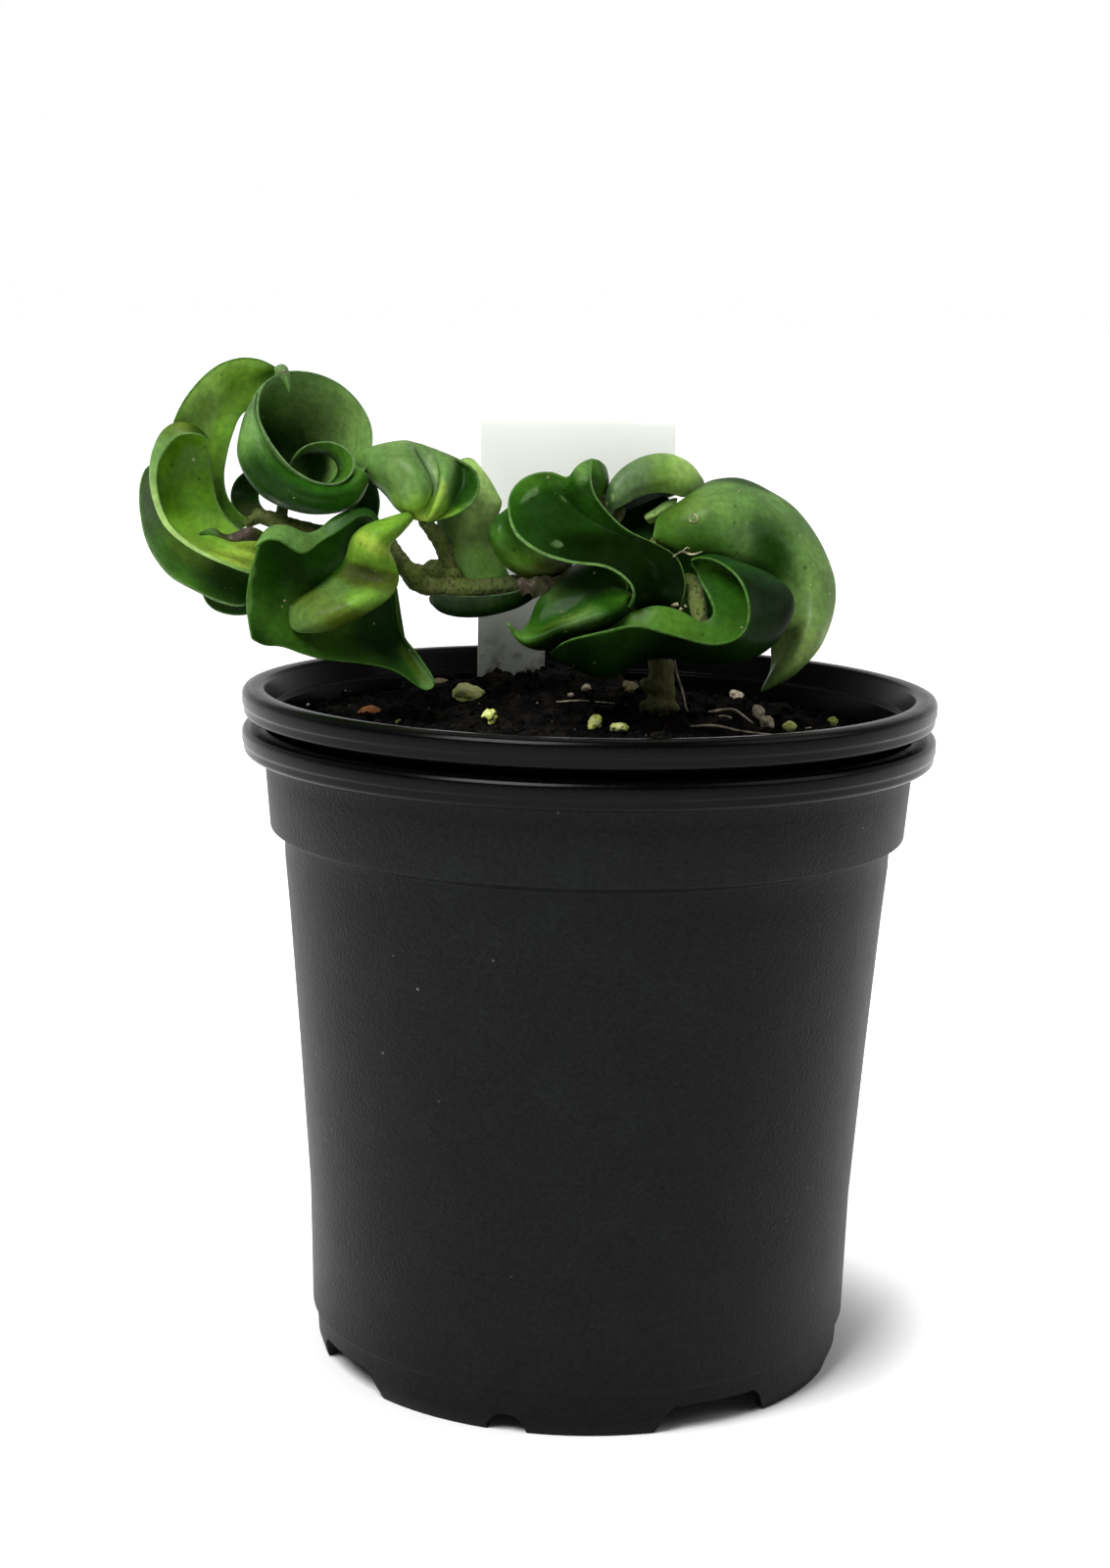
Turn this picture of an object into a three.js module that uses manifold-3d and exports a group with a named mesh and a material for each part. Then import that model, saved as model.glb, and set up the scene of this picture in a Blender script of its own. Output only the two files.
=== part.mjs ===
// A hindu rope plant with thick, curled leaves, in two nested nursery pots with soil and a plain tag.
// Millimetres, +Z up, the floor at z = 0. The front is toward -Y.

import * as THREE from 'three';
import { mergeVertices } from 'three/addons/utils/BufferGeometryUtils.js';
import Module from 'manifold-3d';

const wasm = await Module();
wasm.setup();

// Driving dimensions of the pots
const RIM_RADIUS = 82.5;
const POT_HEIGHT = 153.8;
const FOOT_RADIUS = 62.5;
const WALL = 1.2;
const FLOOR_LIFT = 7.5;
const NESTING_LIFT = 9;
const POT_SIDES = 32;
const SEAT_GAP = 0.3;
const WALL_GAP = 0.4;

// Notches round the foot, as angles from +X
const LARGE_NOTCH_ANGLE = THREE.MathUtils.degToRad(-60);
const SMALL_NOTCH_ANGLE = THREE.MathUtils.degToRad(-105);
const LARGE_NOTCH = { width: 31, topWidth: 24, height: 6.4 };
const SMALL_NOTCH = { width: 9.5, height: 4.6 };
const DRAIN_RADIUS = 4;
const DRAIN_DISTANCE = 50;

// Soil, stem and tag
const SOIL_LEVEL = 152.5;
const SOIL_RINGS = 6;
const TRUNK_FOOT = 132;
const TAG = { left: -29.2, right: 20.5, top: 224.5, depth: 39, thickness: 1.0, foot: 108, stakeWidth: 17 };

// Leaf points are given as [across, up, depth] and pushed along the line of sight to the eye,
// so the first two read as a front elevation drawn on the plane through the pot's axis.
const EYE = new THREE.Vector3(-7.8, -649, 253);
const LEAF_GAP = 0.32;

function seen([across, up, depth]) {
  const reach = 1 + depth / -EYE.y;
  return new THREE.Vector3(EYE.x + (across - EYE.x) * reach, depth, EYE.z + (up - EYE.z) * reach);
}

// Each leaf: its rails run from one end to the other, ordered from one margin to the other.
const LEAVES = {
  hook_upper: {
    thickness: 2.2, along: 14, across: 4, colour: 0x73a838,
    rails: [
      [[-74, 237, 5], [-78.5, 238.4, 4], [-83.5, 238.7, 3], [-89.3, 236.6, 1], [-95.5, 230.5, 0],
        [-99.5, 222.6, 0], [-101, 214, 1], [-99.5, 206, 3], [-94.5, 199, 5], [-86, 195.5, 6]],
      [[-74.6, 236, 8], [-78.6, 236, 8], [-83, 235.6, 7.5], [-88, 232.5, 6], [-93, 226.5, 5.5],
        [-95.5, 219.5, 5.5], [-96.5, 212, 6], [-95.5, 206, 7], [-91, 200.5, 8], [-84.5, 197.5, 8]],
      [[-75, 235.4, 9], [-78.5, 234, 10], [-82, 232, 9.5], [-86, 228.8, 8.5], [-89.3, 223.6, 8],
        [-91, 217, 8], [-92, 211, 9], [-91, 206, 9.5], [-87.5, 201.8, 9], [-82.5, 199, 8]],
      [[-75.5, 234.5, 8], [-77.9, 231.8, 9], [-80.3, 228, 9], [-83.4, 225, 7], [-85, 221, 6],
        [-86.4, 216, 6.5], [-87.1, 211.2, 7.5], [-86.3, 206.4, 8], [-84, 203, 7], [-80.5, 200.2, 6]],
    ],
  },
  hook_lower: {
    thickness: 2.2, along: 15, across: 4, colour: 0x6d9f31,
    rails: [
      [[-90.5, 220.2, -4], [-94, 222.3, -6], [-98.5, 222.8, -7], [-102, 220, -7], [-104.2, 213.5, -6],
        [-103.4, 205, -5], [-100.6, 198.8, -6], [-95, 194.2, -8], [-88.5, 191.2, -9], [-80.5, 188.3, -9]],
      [[-91, 219, -2], [-93.5, 219.8, 0], [-95.8, 219, 1.5], [-97.5, 216, 2.5], [-98, 211, 3],
        [-97, 205, 3], [-94.5, 200, 3], [-91, 196.5, 2.5], [-86.5, 193.8, 2], [-79.5, 191.8, 1]],
      [[-91.5, 218, -1], [-91, 217.5, 1], [-90.5, 216, 2], [-90, 213.5, 2.5], [-89.5, 210.5, 2.5],
        [-89, 206.5, 2], [-87.5, 203, 1.5], [-85, 200, 1], [-82, 198, 0], [-78, 196, -1]],
    ],
  },
  hook_back: {
    thickness: 2.2, along: 10, across: 4, colour: 0x365e34,
    rails: [
      [[-103, 216, 9], [-106.4, 211.6, 9], [-107.3, 204, 8], [-105.5, 195, 6], [-101, 188, 4],
        [-94.5, 183.8, 2], [-88, 181, 1], [-80, 179.5, 1]],
      [[-102, 214, 14], [-104, 209, 15], [-104.5, 203, 14], [-102.5, 196, 12], [-98.5, 190.5, 10],
        [-92.5, 187, 8], [-86, 185, 6], [-78, 183.5, 5]],
      [[-100, 212, 17], [-101, 208, 18], [-100.5, 203, 18], [-98.5, 198, 17], [-95, 194, 15],
        [-90, 191.5, 12], [-84.5, 190, 10], [-77, 188.5, 8]],
    ],
  },
  hook_under: {
    thickness: 2.0, along: 7, across: 3, colour: 0x3d6a31,
    rails: [
      [[-94, 184.8, 8], [-91.5, 180.4, 8], [-87, 178.3, 7], [-82, 178.2, 6], [-77, 180, 5]],
      [[-92.5, 185.4, 13], [-90, 183, 13], [-86, 181.3, 12], [-81, 181.3, 10.5], [-76, 182.3, 8.5]],
      [[-91, 187, 16], [-88, 186, 16], [-84, 185, 15.5], [-80, 185, 14], [-75, 185.5, 12]],
    ],
  },
  snail: {
    thickness: 1.9, along: 32, across: 4, colour: 0x4a7040,
    roll: {
      mouth: [-65.5, 217, -4], end: [-74, 208.5, 17],
      rings: [[0.25, 0.97], [0.6, 0.84], [0.86, 0.54], [1, 0.2]],
      rim: [
        [-70.5, 215.6, 0], [-68.6, 218.1, -1], [-65, 219.5, -2.5], [-61, 219.4, -4], [-57.6, 217.4, -6],
        [-56.5, 214.2, -8], [-58.4, 211, -10], [-62.2, 209.8, -11], [-66.8, 210.8, -11.5],
        [-71.8, 213.8, -11], [-76.2, 219.2, -9], [-79.1, 225.6, -5], [-78.6, 231.2, -1],
        [-74.5, 235.3, 3], [-68.5, 236.2, 5], [-61.5, 234.2, 5.5], [-55.7, 229.6, 4], [-52.4, 223, 1],
        [-52.6, 216.2, -3.5], [-55.7, 210.5, -8.5], [-61.5, 207.4, -11.8], [-67.5, 207.8, -12.8],
        [-73.5, 210.8, -12.2], [-78.4, 214.8, -9.5], [-80.8, 219.4, -6],
      ],
      reach: [0.25, 0.25, 0.25, 0.25, 0.25, 0.25, 0.25, 0.25, 0.25, 0.25, 0.3, 0.5, 0.8],
    },
  },
  shade_leaf: {
    thickness: 2.0, along: 6, across: 3, colour: 0x2c4e22,
    rails: [
      [[-60, 213, 12], [-60, 209, 12], [-59.5, 205, 11], [-57, 201, 10], [-55, 197, 9]],
      [[-56, 214, 15], [-55.5, 209, 15], [-55, 205, 14], [-54, 201, 12], [-53, 197, 10]],
      [[-52.5, 213, 11], [-50.8, 208.5, 11], [-50.3, 205, 11], [-51, 201, 10], [-51, 197, 9]],
    ],
  },
  bud_leaf: {
    thickness: 1.8, along: 6, across: 3, colour: 0x32461c,
    rails: [
      [[-82, 212.6, 12], [-84.8, 210.3, 12], [-86, 206.5, 12], [-84.8, 203, 11], [-81.5, 200.6, 10]],
      [[-80, 211.5, 15], [-82, 209.5, 16], [-83, 206.5, 16], [-82, 204, 15], [-79.5, 202, 13]],
      [[-77.5, 211, 16], [-78.5, 209, 17], [-79, 206.5, 17.5], [-78.5, 204.5, 17], [-77, 203, 15]],
    ],
  },
  fold_back: {
    thickness: 2.4, along: 15, across: 6, colour: 0x2c5420,
    rails: [
      [[-79, 195.8, -20], [-76, 198.2, -18], [-72.5, 198.8, -15], [-68, 196.9, -12], [-64.5, 198, -9],
        [-60.5, 201.2, -7], [-54.5, 203.3, -6], [-50.5, 200, -7], [-47.5, 188, -6], [-45.5, 175, -5],
        [-41.5, 169.5, -6], [-37, 163.4, -9]],
      [[-81, 189, -21], [-75.5, 190, -13], [-71, 190, -9], [-66, 189.5, -6], [-61.5, 191, -4.5],
        [-57.5, 192, -4], [-53, 191.5, -3.5], [-49.5, 188, -3.5], [-47, 180, -3.5], [-44.5, 171.5, -5],
        [-41, 166.5, -7], [-37, 162.4, -9.6]],
      [[-82, 180.5, -22], [-76.5, 180, -15], [-71.5, 179, -11], [-66.5, 178, -8], [-61.5, 177.5, -6],
        [-57, 177, -5], [-52.5, 175.5, -4.5], [-49, 173, -5], [-46.5, 170, -6], [-43.5, 167, -7.5],
        [-40.6, 163.9, -9], [-37.2, 161.5, -10.4]],
      [[-80.8, 172.5, -22], [-77.5, 171, -19], [-73.5, 170.8, -17], [-68.5, 169, -15], [-63.5, 167.9, -13.5],
        [-58, 167.3, -12.5], [-53, 166.8, -12], [-48.5, 166, -11.5], [-45.5, 164.8, -11],
        [-42.5, 162.9, -11], [-40.3, 161.4, -11], [-37.6, 160.4, -11.3]],
    ],
  },
  fold_front: {
    thickness: 2.4, along: 14, across: 5, colour: 0x7a9440,
    rails: [
      [[-43.6, 203.4, -12], [-47.5, 201.9, -14], [-52.5, 200.3, -15], [-56.6, 197.2, -15], [-58, 193.5, -14],
        [-61.5, 190, -14], [-66, 187, -16], [-70, 183.3, -19], [-73, 179, -20]],
      [[-43, 202.8, -13], [-46, 200.2, -17], [-49.5, 198, -20], [-52.5, 195.3, -22], [-53, 191.5, -20],
        [-54.5, 187.5, -19], [-59, 184, -22], [-64.5, 180.5, -24.5], [-70.5, 177, -23]],
      [[-42.3, 202.2, -12], [-44.6, 199, -13], [-46.8, 196.5, -14], [-47.3, 193, -15], [-45.8, 189.5, -15],
        [-46, 185, -16], [-50.5, 180, -18], [-58.5, 175.8, -20], [-68, 173, -21]],
    ],
  },
  cap_leaf: {
    thickness: 2.0, along: 9, across: 12, colour: 0x8cae6c,
    rails: [
      [[-49.5, 220.9, 5], [-54.2, 218, 4], [-55.2, 214, 3], [-53, 209.5, 1], [-49, 206, -1],
        [-45, 202.8, -4]],
      [[-47.5, 221.2, 3], [-51, 217.8, -2], [-51.8, 213.5, -4], [-49.8, 209.3, -5], [-46.8, 205.5, -6],
        [-43.6, 202.3, -7]],
      [[-44.8, 220.8, 2], [-46, 217.3, -4], [-46, 213, -7], [-45.3, 209, -8], [-43.8, 205.3, -8.5],
        [-42.2, 202, -9]],
      [[-42.3, 220.2, 3], [-42, 216.8, -3.5], [-41, 212.8, -6.5], [-40.4, 208.8, -8], [-40, 205.2, -9],
        [-40.6, 201.8, -9.5]],
      [[-40.2, 219.5, 4], [-39.2, 216, 1], [-38, 212.2, -1.5], [-37.8, 208.5, -4], [-38, 205, -6.5],
        [-39.4, 201.6, -9]],
      [[-36.5, 218.6, 5], [-35, 215.5, 2], [-34.6, 212, -2], [-35.4, 208.2, -5], [-36.8, 204.8, -8],
        [-38.6, 201.3, -10]],
      [[-33.6, 217.7, 5], [-32.7, 215.5, 0], [-33, 212.5, -5], [-34, 208.6, -8], [-35.8, 204.9, -10],
        [-38.2, 201.2, -11]],
      [[-31.2, 216.8, 5], [-30.4, 214.8, 3], [-30.3, 211.5, 0], [-31.3, 207.8, -3], [-33.9, 204.2, -7],
        [-37.7, 201, -10]],
      [[-28.6, 215.8, 4], [-27.4, 213.6, 1], [-26.9, 210.6, -2], [-28, 206.6, -5], [-31.6, 203.2, -8],
        [-37, 200.7, -10.5]],
    ],
  },
  pale_leaf: {
    thickness: 2.2, along: 8, across: 4, colour: 0x709654,
    rails: [
      [[-34, 216, 10], [-35.5, 210, 8], [-37, 204, 7], [-36.5, 199.5, 6], [-34, 195.5, 5], [-32.2, 189.5, 3]],
      [[-30, 215.6, 11], [-29.5, 209, 6], [-30.5, 203, 3], [-30.5, 198, 2], [-29.5, 194, 1], [-29, 188.4, 1]],
      [[-26.8, 214, 12], [-22.5, 208, 8], [-21.5, 205.5, 7], [-23.5, 200.5, 6], [-25, 195, 5],
        [-26, 188.6, 4]],
    ],
  },
  keel_leaf: {
    thickness: 2.0, along: 8, across: 4, colour: 0x46543e,
    rails: [
      [[-39.4, 184.2, -2.8], [-36, 183.2, -3.2], [-31, 182.9, -3.2], [-25, 183, -3.2], [-19, 183.9, -3],
        [-13, 185.6, -2.4]],
      [[-38.8, 182.6, -1.4], [-35.8, 180.7, -1.6], [-31, 179.8, -1.6], [-25, 180.2, -1.6], [-18.8, 182, -1.4],
        [-13, 184.6, -1]],
      [[-38.4, 182.6, 3], [-35.3, 181, 3.6], [-30.5, 180.2, 4], [-25, 180.5, 4], [-19, 182, 3.6],
        [-13, 184.4, 2.6]],
      [[-38.6, 184, 7], [-35.5, 183, 8], [-30.5, 182.6, 9], [-25, 182.8, 9], [-19, 183.8, 8],
        [-13, 185.8, 6]],
    ],
  },
  wrap_leaf: {
    thickness: 2.2, along: 10, across: 4, colour: 0x587a2c,
    rails: [
      [[-17, 211, 0], [-21, 207, -1], [-24, 203.5, -2], [-24.2, 199.5, -2], [-22, 194, -1],
        [-17, 190.5, -0.5],
        [-10, 189.3, 0], [-4, 189.6, 1]],
      [[-15, 209, 3], [-18, 205, 0], [-20, 201, -3], [-19.8, 197.5, -5], [-17.5, 194.5, -5],
        [-13.5, 192.3, -4],
        [-8, 191.5, -2], [-3, 191.5, 1]],
      [[-13, 207, 5], [-15, 203, 4], [-16.5, 200, 3], [-16, 197.5, 2], [-14, 195.5, 2], [-11, 194.5, 2],
        [-7, 194, 3], [-3, 194, 4]],
    ],
  },
  wave_upper: {
    thickness: 2.2, along: 16, across: 6, colour: 0x1a481e,
    rails: [
      [[-20.2, 206.5, -7], [-20, 202, -11], [-18, 197.8, -15], [-12.5, 194, -18], [-5, 192, -19],
        [1.5, 191.2, -19.5], [6.5, 189.6, -20], [9.5, 186.8, -20], [10.6, 183.4, -17], [11, 180, -12]],
      [[-18.8, 210.5, -4], [-15.5, 206, -3], [-12, 201.5, -5], [-7, 197.5, -7], [-1, 195.5, -8],
        [4.5, 194, -9], [9, 191.5, -10], [12, 188, -11], [13.5, 184, -11], [14, 180.2, -9]],
      [[-14.5, 213.3, -3], [-10.5, 209.5, 0], [-7.5, 205.5, 1], [-3, 201.5, 0], [2.5, 198.8, -1],
        [8, 197, -3], [12.5, 193.5, -4], [15, 189, -5.5], [16.6, 184.4, -6], [17, 180.3, -6]],
      [[-10, 213.5, -3], [-6.8, 211, -2], [-2.5, 208.5, -3], [2.2, 204.8, -4], [8, 199.7, -5],
        [14.5, 197, -6], [20, 193.6, -8], [22, 188, -9], [21.6, 184, -9], [20.5, 180.4, -8]],
    ],
  },
  crest_leaf: {
    thickness: 2.0, along: 6, across: 4, colour: 0x32622c,
    rails: [
      [[-2.6, 216.2, 0], [-4.5, 214, -2.5], [-6, 210.8, -4], [-5.5, 206.5, -5.5], [-3.5, 203.5, -6]],
      [[-1.4, 216.6, 0.5], [-2.8, 214, -5.5], [-3.2, 210.5, -8], [-2.2, 206.5, -9], [-0.5, 203.5, -9]],
      [[0, 216.4, 1], [0, 214.5, -3], [-0.6, 211.5, -6.5], [0.3, 208, -8], [2.3, 204.6, -8]],
    ],
  },
  crest_back: {
    thickness: 1.9, along: 4, across: 3, colour: 0x2c5c24,
    rails: [
      [[0.2, 216.4, 4], [-0.5, 213.5, 4], [-0.5, 210.5, 3.5], [0, 206.5, 3]],
      [[1.3, 215.6, 6], [2, 213.5, 6.5], [2, 210.5, 6], [1.6, 206.5, 5]],
      [[1.6, 214.4, 9], [2.4, 212.5, 10], [2.6, 209.5, 10], [2.2, 206.5, 8]],
    ],
  },
  wave_lower: {
    thickness: 2.2, along: 12, across: 4, colour: 0x547c38,
    rails: [
      [[-19.8, 177.6, -16], [-16.6, 175.6, -14.5], [-14.6, 178, -12], [-12, 181, -10], [-8.5, 183.6, -9],
        [-4, 187, -9.5], [2, 189.4, -12], [7, 188.4, -15]],
      [[-19.2, 176.2, -18], [-15.8, 173.6, -17.5], [-12.5, 174.8, -15], [-9, 177, -13], [-5.5, 179, -12],
        [-1, 181.5, -12], [4, 184.2, -13.5], [8, 185.8, -15.5]],
      [[-18.6, 174.8, -19], [-15.3, 172.2, -20], [-12, 172.8, -20], [-7.5, 175, -19.5], [-3, 176.7, -19.5],
        [2.5, 178.7, -20], [7.6, 181.2, -19], [9.4, 184, -17]],
    ],
  },
  boat_leaf: {
    thickness: 2.4, along: 19, across: 5, colour: 0x346034,
    rails: [
      [[-11, 172.6, -17], [-4.5, 174.4, -22.5], [3, 176.2, -25.5], [11, 177.8, -27], [20, 175.6, -28],
        [29, 173.6, -28], [35.3, 175.6, -26], [37.2, 180.5, -23], [35.6, 186.5, -19], [30.5, 192.3, -14],
        [24, 193.8, -10]],
      [[-9, 169.8, -15], [-3, 167.8, -16], [4, 164.8, -17], [11, 169.3, -19], [18, 171, -20],
        [27, 169.8, -20], [36.5, 170.6, -19], [44, 175.2, -15], [47.6, 183, -10], [44, 188.2, -6],
        [35, 190.8, -3]],
      [[-8, 172.6, -10], [-3, 174, -12], [2.5, 177.4, -14], [9, 180.6, -15], [15.5, 182.5, -15],
        [21.6, 181.3, -15], [26.5, 178.6, -16], [29.5, 180.3, -15], [30.2, 184, -12], [28.5, 187.5, -9],
        [24.5, 189.8, -6]],
    ],
  },
  claw_leaf: {
    thickness: 2.4, along: 16, across: 5, colour: 0x547e3e,
    rails: [
      [[13.5, 199.8, -2], [15.5, 203.8, 2], [21.5, 208, 6], [27, 212, 10], [34, 212.9, 12], [41, 210.2, 13],
        [48.5, 205.3, 12], [54, 198, 10], [57.7, 189, 7], [57.7, 181.5, 3], [54.5, 173, -1],
        [49, 166.5, -4], [42, 162.6, -6]],
      [[14.5, 198.6, -3], [18.5, 201.8, -5], [24.5, 204.8, -6], [30.5, 207, -5], [37, 206, -3],
        [43, 202.5, -1], [48, 197.5, 1], [51.5, 191, 1], [53, 184.5, -1], [52.5, 178, -4],
        [50, 171.5, -6], [46, 166.8, -7], [41.6, 162.3, -7]],
      [[15, 197.6, -2], [20, 197.8, -5], [26, 199, -7], [32, 199.5, -6], [37.5, 197.5, -2],
        [41.5, 194.5, 2], [44.5, 190.5, 4], [46.8, 186, 4], [47.5, 181, 2], [47.2, 175.5, -1],
        [45.8, 170.5, -4], [43.8, 166.6, -6], [41, 162, -7.5]],
      [[16, 196.6, 0], [22, 194.4, -2], [27, 194.2, -2.5], [32, 192.6, -1], [36, 190.8, 2], [39, 188.6, 5],
        [41.5, 185.5, 6], [43, 181.5, 5], [43.2, 177.5, 3], [43, 172.5, 0], [43.2, 168.5, -3],
        [42.2, 165, -5], [40.3, 161.6, -7]],
    ],
  },
  shaded_back: {
    thickness: 2.2, along: 8, across: 5, colour: 0x203a1c,
    rails: [
      [[8, 175, 11], [6.5, 181, 11], [8, 188, 10], [12, 194, 9], [17, 197.6, 9]],
      [[16, 173, 14], [15.5, 181, 15.5], [17, 188.5, 15], [20, 194, 13.5], [22.5, 196.6, 12.5]],
      [[25, 174.5, 13], [26, 181.5, 15], [26.5, 188, 15], [27, 192.6, 14], [27.5, 195, 13]],
      [[31, 178.5, 10], [33.5, 182.5, 11], [33.5, 186.5, 11], [32, 189.6, 11], [31, 191.6, 11]],
    ],
  },
  arch_leaf: {
    thickness: 2.2, along: 10, across: 5, colour: 0x688858,
    rails: [
      [[3.2, 204, 4], [6, 205.3, 4], [9, 207, 5], [12.5, 208.6, 6], [16, 209.2, 7], [19.5, 208.6, 9],
        [22.5, 206.5, 10]],
      [[2.8, 206.2, 3], [5.5, 208.4, 3], [8.8, 211, 4], [12.8, 212.8, 5], [17, 213, 6], [21, 211.8, 8],
        [24.5, 208.8, 10]],
      [[2.7, 208.5, 5], [4.8, 211.6, 5.5], [8.4, 215.2, 7], [12.8, 217.3, 8.5], [17.6, 217.6, 10],
        [22.2, 215.6, 12], [26, 211.5, 13]],
      [[3.8, 206.5, 10], [6, 209, 12], [9.2, 211.5, 14], [13, 213.3, 16], [17.3, 214, 18], [21.5, 212.6, 19],
        [25, 209.5, 19]],
      [[5, 202.4, 12], [8, 203, 15], [11, 204, 17], [14, 205.6, 19], [17, 207.6, 20.5], [20, 208.6, 21.5],
        [24, 207, 21]],
    ],
  },
};

// The vine runs from the trunk in the soil to the leaves at the left; radii change from end to end.
const STEMS = [
  { radii: [3.6, 3.5, 3, 2.6, 2.4], points: [[17, TRUNK_FOOT, 4], [17.2, 158, 4], [16.6, 170, 4],
    [13.5, 178, 6], [8, 183.5, 7]] },
  { radii: [2.5, 2.7, 2.6, 2.5, 2.5, 2.4, 2.3, 2.1, 1.8], points: [[8.5, 183, 7], [0, 186.6, 5.5],
    [-12, 187, 2], [-25, 185.9, 0], [-39, 186.2, 0], [-45, 191, 0], [-51, 197, 2], [-66, 198.4, 4],
    [-79, 202, 6.5]] },
  { radii: [1.5, 1.4], points: [[-74, 200.6, 5], [-73, 205.5, 11], [-73.6, 208.3, 15.5]] },
  { radii: [1.5, 1.3], points: [[-70, 199, 5], [-76, 194, 4], [-79.6, 191.5, 1.6]] },
  { radii: [1.5, 1.3], points: [[-67, 198, 5], [-73, 190, 7], [-77.5, 185, 6.5], [-77.6, 181.8, 7.6]] },
  { radii: [1.5, 1.4], points: [[-79, 202, 6.5], [-82, 199.6, 7.6]] },
  { radii: [1.4, 1.3], points: [[-78.5, 202, 6.5], [-79.6, 202.4, 12.6]] },
  { radii: [1.5, 1.4], points: [[-55, 198, 3], [-53, 197.8, 9.6]] },
  { radii: [1.8, 1.6], points: [[-49.5, 195.6, 1], [-51.5, 194.4, -3.6]] },
  { radii: [1.7, 1.4], points: [[-45.5, 191.6, 0], [-48.4, 192.6, -7], [-49.6, 193, -16.4]] },
  { radii: [2.1, 1.9, 1.5], points: [[-37.5, 187, 0], [-36.8, 193, -1.5], [-38.6, 198, -6],
    [-40.4, 202.4, -9.4]] },
  { radii: [2.2, 2.0], points: [[-30, 186.6, 1], [-29, 190.6, 3.6]] },
  { radii: [1.9, 1.6], points: [[1, 186.6, 5.4], [1.6, 195, 3], [0, 203, -2], [-0.8, 205, -8.4]] },
  { radii: [1.7, 1.5], points: [[1.4, 193, 3.6], [1.8, 202, 4.4], [1.6, 208.4, 5.4]] },
  { radii: [1.7, 1.5], points: [[1.7, 197, 4], [4.6, 201.6, 8], [6.6, 205, 12.4]] },
  { radii: [1.9, 1.6], points: [[11, 181, 7], [14.5, 190, 4], [15.2, 198, -1.4]] },
  { radii: [1.9, 1.7], points: [[14, 177.5, 5], [16.4, 181, -1], [17, 183.4, -6.4]] },
  { radii: [1.8, 1.6], points: [[15.5, 174, 4.5], [17, 175.4, 14.4]] },
  { radii: [2.1, 1.8, 1.6], points: [[14.5, 176, 5.6], [22, 183, 3], [26.5, 184.4, -5], [27, 179, -13],
    [27, 173.6, -18]] },
];
const STEM_SIDES = 6;

// Plain geometry helpers
function closedBody(points, triangles) {
  const vertices = new Float32Array(points.length * 3);
  points.forEach((point, index) => point.toArray(vertices, index * 3));
  let volume = 0;
  for (let k = 0; k < triangles.length; k += 3) {
    const [a, b, c] = [points[triangles[k]], points[triangles[k + 1]], points[triangles[k + 2]]];
    volume += a.dot(b.clone().cross(c));
  }
  if (volume < 0) {
    triangles.reverse();
  }
  const mesh = new wasm.Mesh({ numProp: 3, vertProperties: vertices, triVerts: new Uint32Array(triangles) });
  return new wasm.Manifold(mesh);
}

function bodyOf(geometry) {
  geometry.deleteAttribute('normal');
  geometry.deleteAttribute('uv');
  const merged = mergeVertices(geometry, 1e-4);
  const position = merged.getAttribute('position');
  const points = [];
  for (let k = 0; k < position.count; k += 1) {
    points.push(new THREE.Vector3().fromBufferAttribute(position, k));
  }
  const corners = Array.from(merged.index.array);
  const triangles = [];
  for (let k = 0; k < corners.length; k += 3) {
    const [a, b, c] = corners.slice(k, k + 3);
    if (a !== b && b !== c && c !== a) {
      triangles.push(a, b, c);
    }
  }
  return closedBody(points, triangles);
}

function largestBody(solid) {
  return solid.decompose().reduce((best, piece) => (piece.volume() > best.volume() ? piece : best));
}

function geometryOf(solid) {
  const mesh = solid.getMesh();
  const geometry = new THREE.BufferGeometry();
  geometry.setAttribute('position', new THREE.BufferAttribute(Float32Array.from(mesh.vertProperties), 3));
  geometry.setIndex(new THREE.BufferAttribute(Uint32Array.from(mesh.triVerts), 1));
  geometry.computeVertexNormals();
  return geometry;
}

function seeded(seed) {
  let state = seed;
  return () => {
    state = (Math.imul(state, 1664525) + 1013904223) >>> 0;
    return state / 4294967296;
  };
}

function curveThrough(points) {
  return new THREE.CatmullRomCurve3(points, false, 'catmullrom', 0.5);
}

// Pots: a closed profile of the wall, floor and rim, turned round the axis
function turned(profile) {
  const outline = profile.map(([radius, height]) => new THREE.Vector2(radius, height));
  outline.push(outline[0].clone());
  return bodyOf(new THREE.LatheGeometry(outline, POT_SIDES).rotateX(Math.PI / 2));
}

function outerPotOutline() {
  return [
    [0, FLOOR_LIFT], [FOOT_RADIUS - 2.2, FLOOR_LIFT], [FOOT_RADIUS - 1.7, 0], [FOOT_RADIUS, 0],
    [64.2, 10.4], [65.2, 11.2], [66, 41], [68.65, 78], [72.5, 128], [75.8, 129.5], [77.2, 147.4],
    [RIM_RADIUS - 0.8, 147.4], [RIM_RADIUS, 148.4], [RIM_RADIUS, 152.4], [RIM_RADIUS - 2, POT_HEIGHT],
    [77.8, POT_HEIGHT], [77, 152], [74.6, 129.9], [71.3, 128.4], [67.45, 78], [64.8, 41], [64, 12],
    [62.8, FLOOR_LIFT + WALL], [0, FLOOR_LIFT + WALL],
  ];
}

function innerPotOutline() {
  const lift = NESTING_LIFT;
  const floor = lift + FLOOR_LIFT;
  return [
    [0, floor], [59.2, floor], [59.8, lift], [61.4, lift], [63.2, lift + 11], [64.3, 41], [66.95, 78],
    [70.7, 127], [70.8, 137], [74.1, 138.6], [76.1, 152.4], [76.4, 156.2], [RIM_RADIUS - 0.8, 156.2],
    [RIM_RADIUS, 157.2], [RIM_RADIUS, 161.2], [RIM_RADIUS - 2, 162.8], [77.8, 162.8], [77, 160.8],
    [76, 157], [74.9, 156.4], [72.9, 139.4], [69.6, 138], [69.5, 127], [65.75, 78], [63.1, 41],
    [62, lift + 11.4], [61, floor + WALL], [0, floor + WALL],
  ];
}

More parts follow.
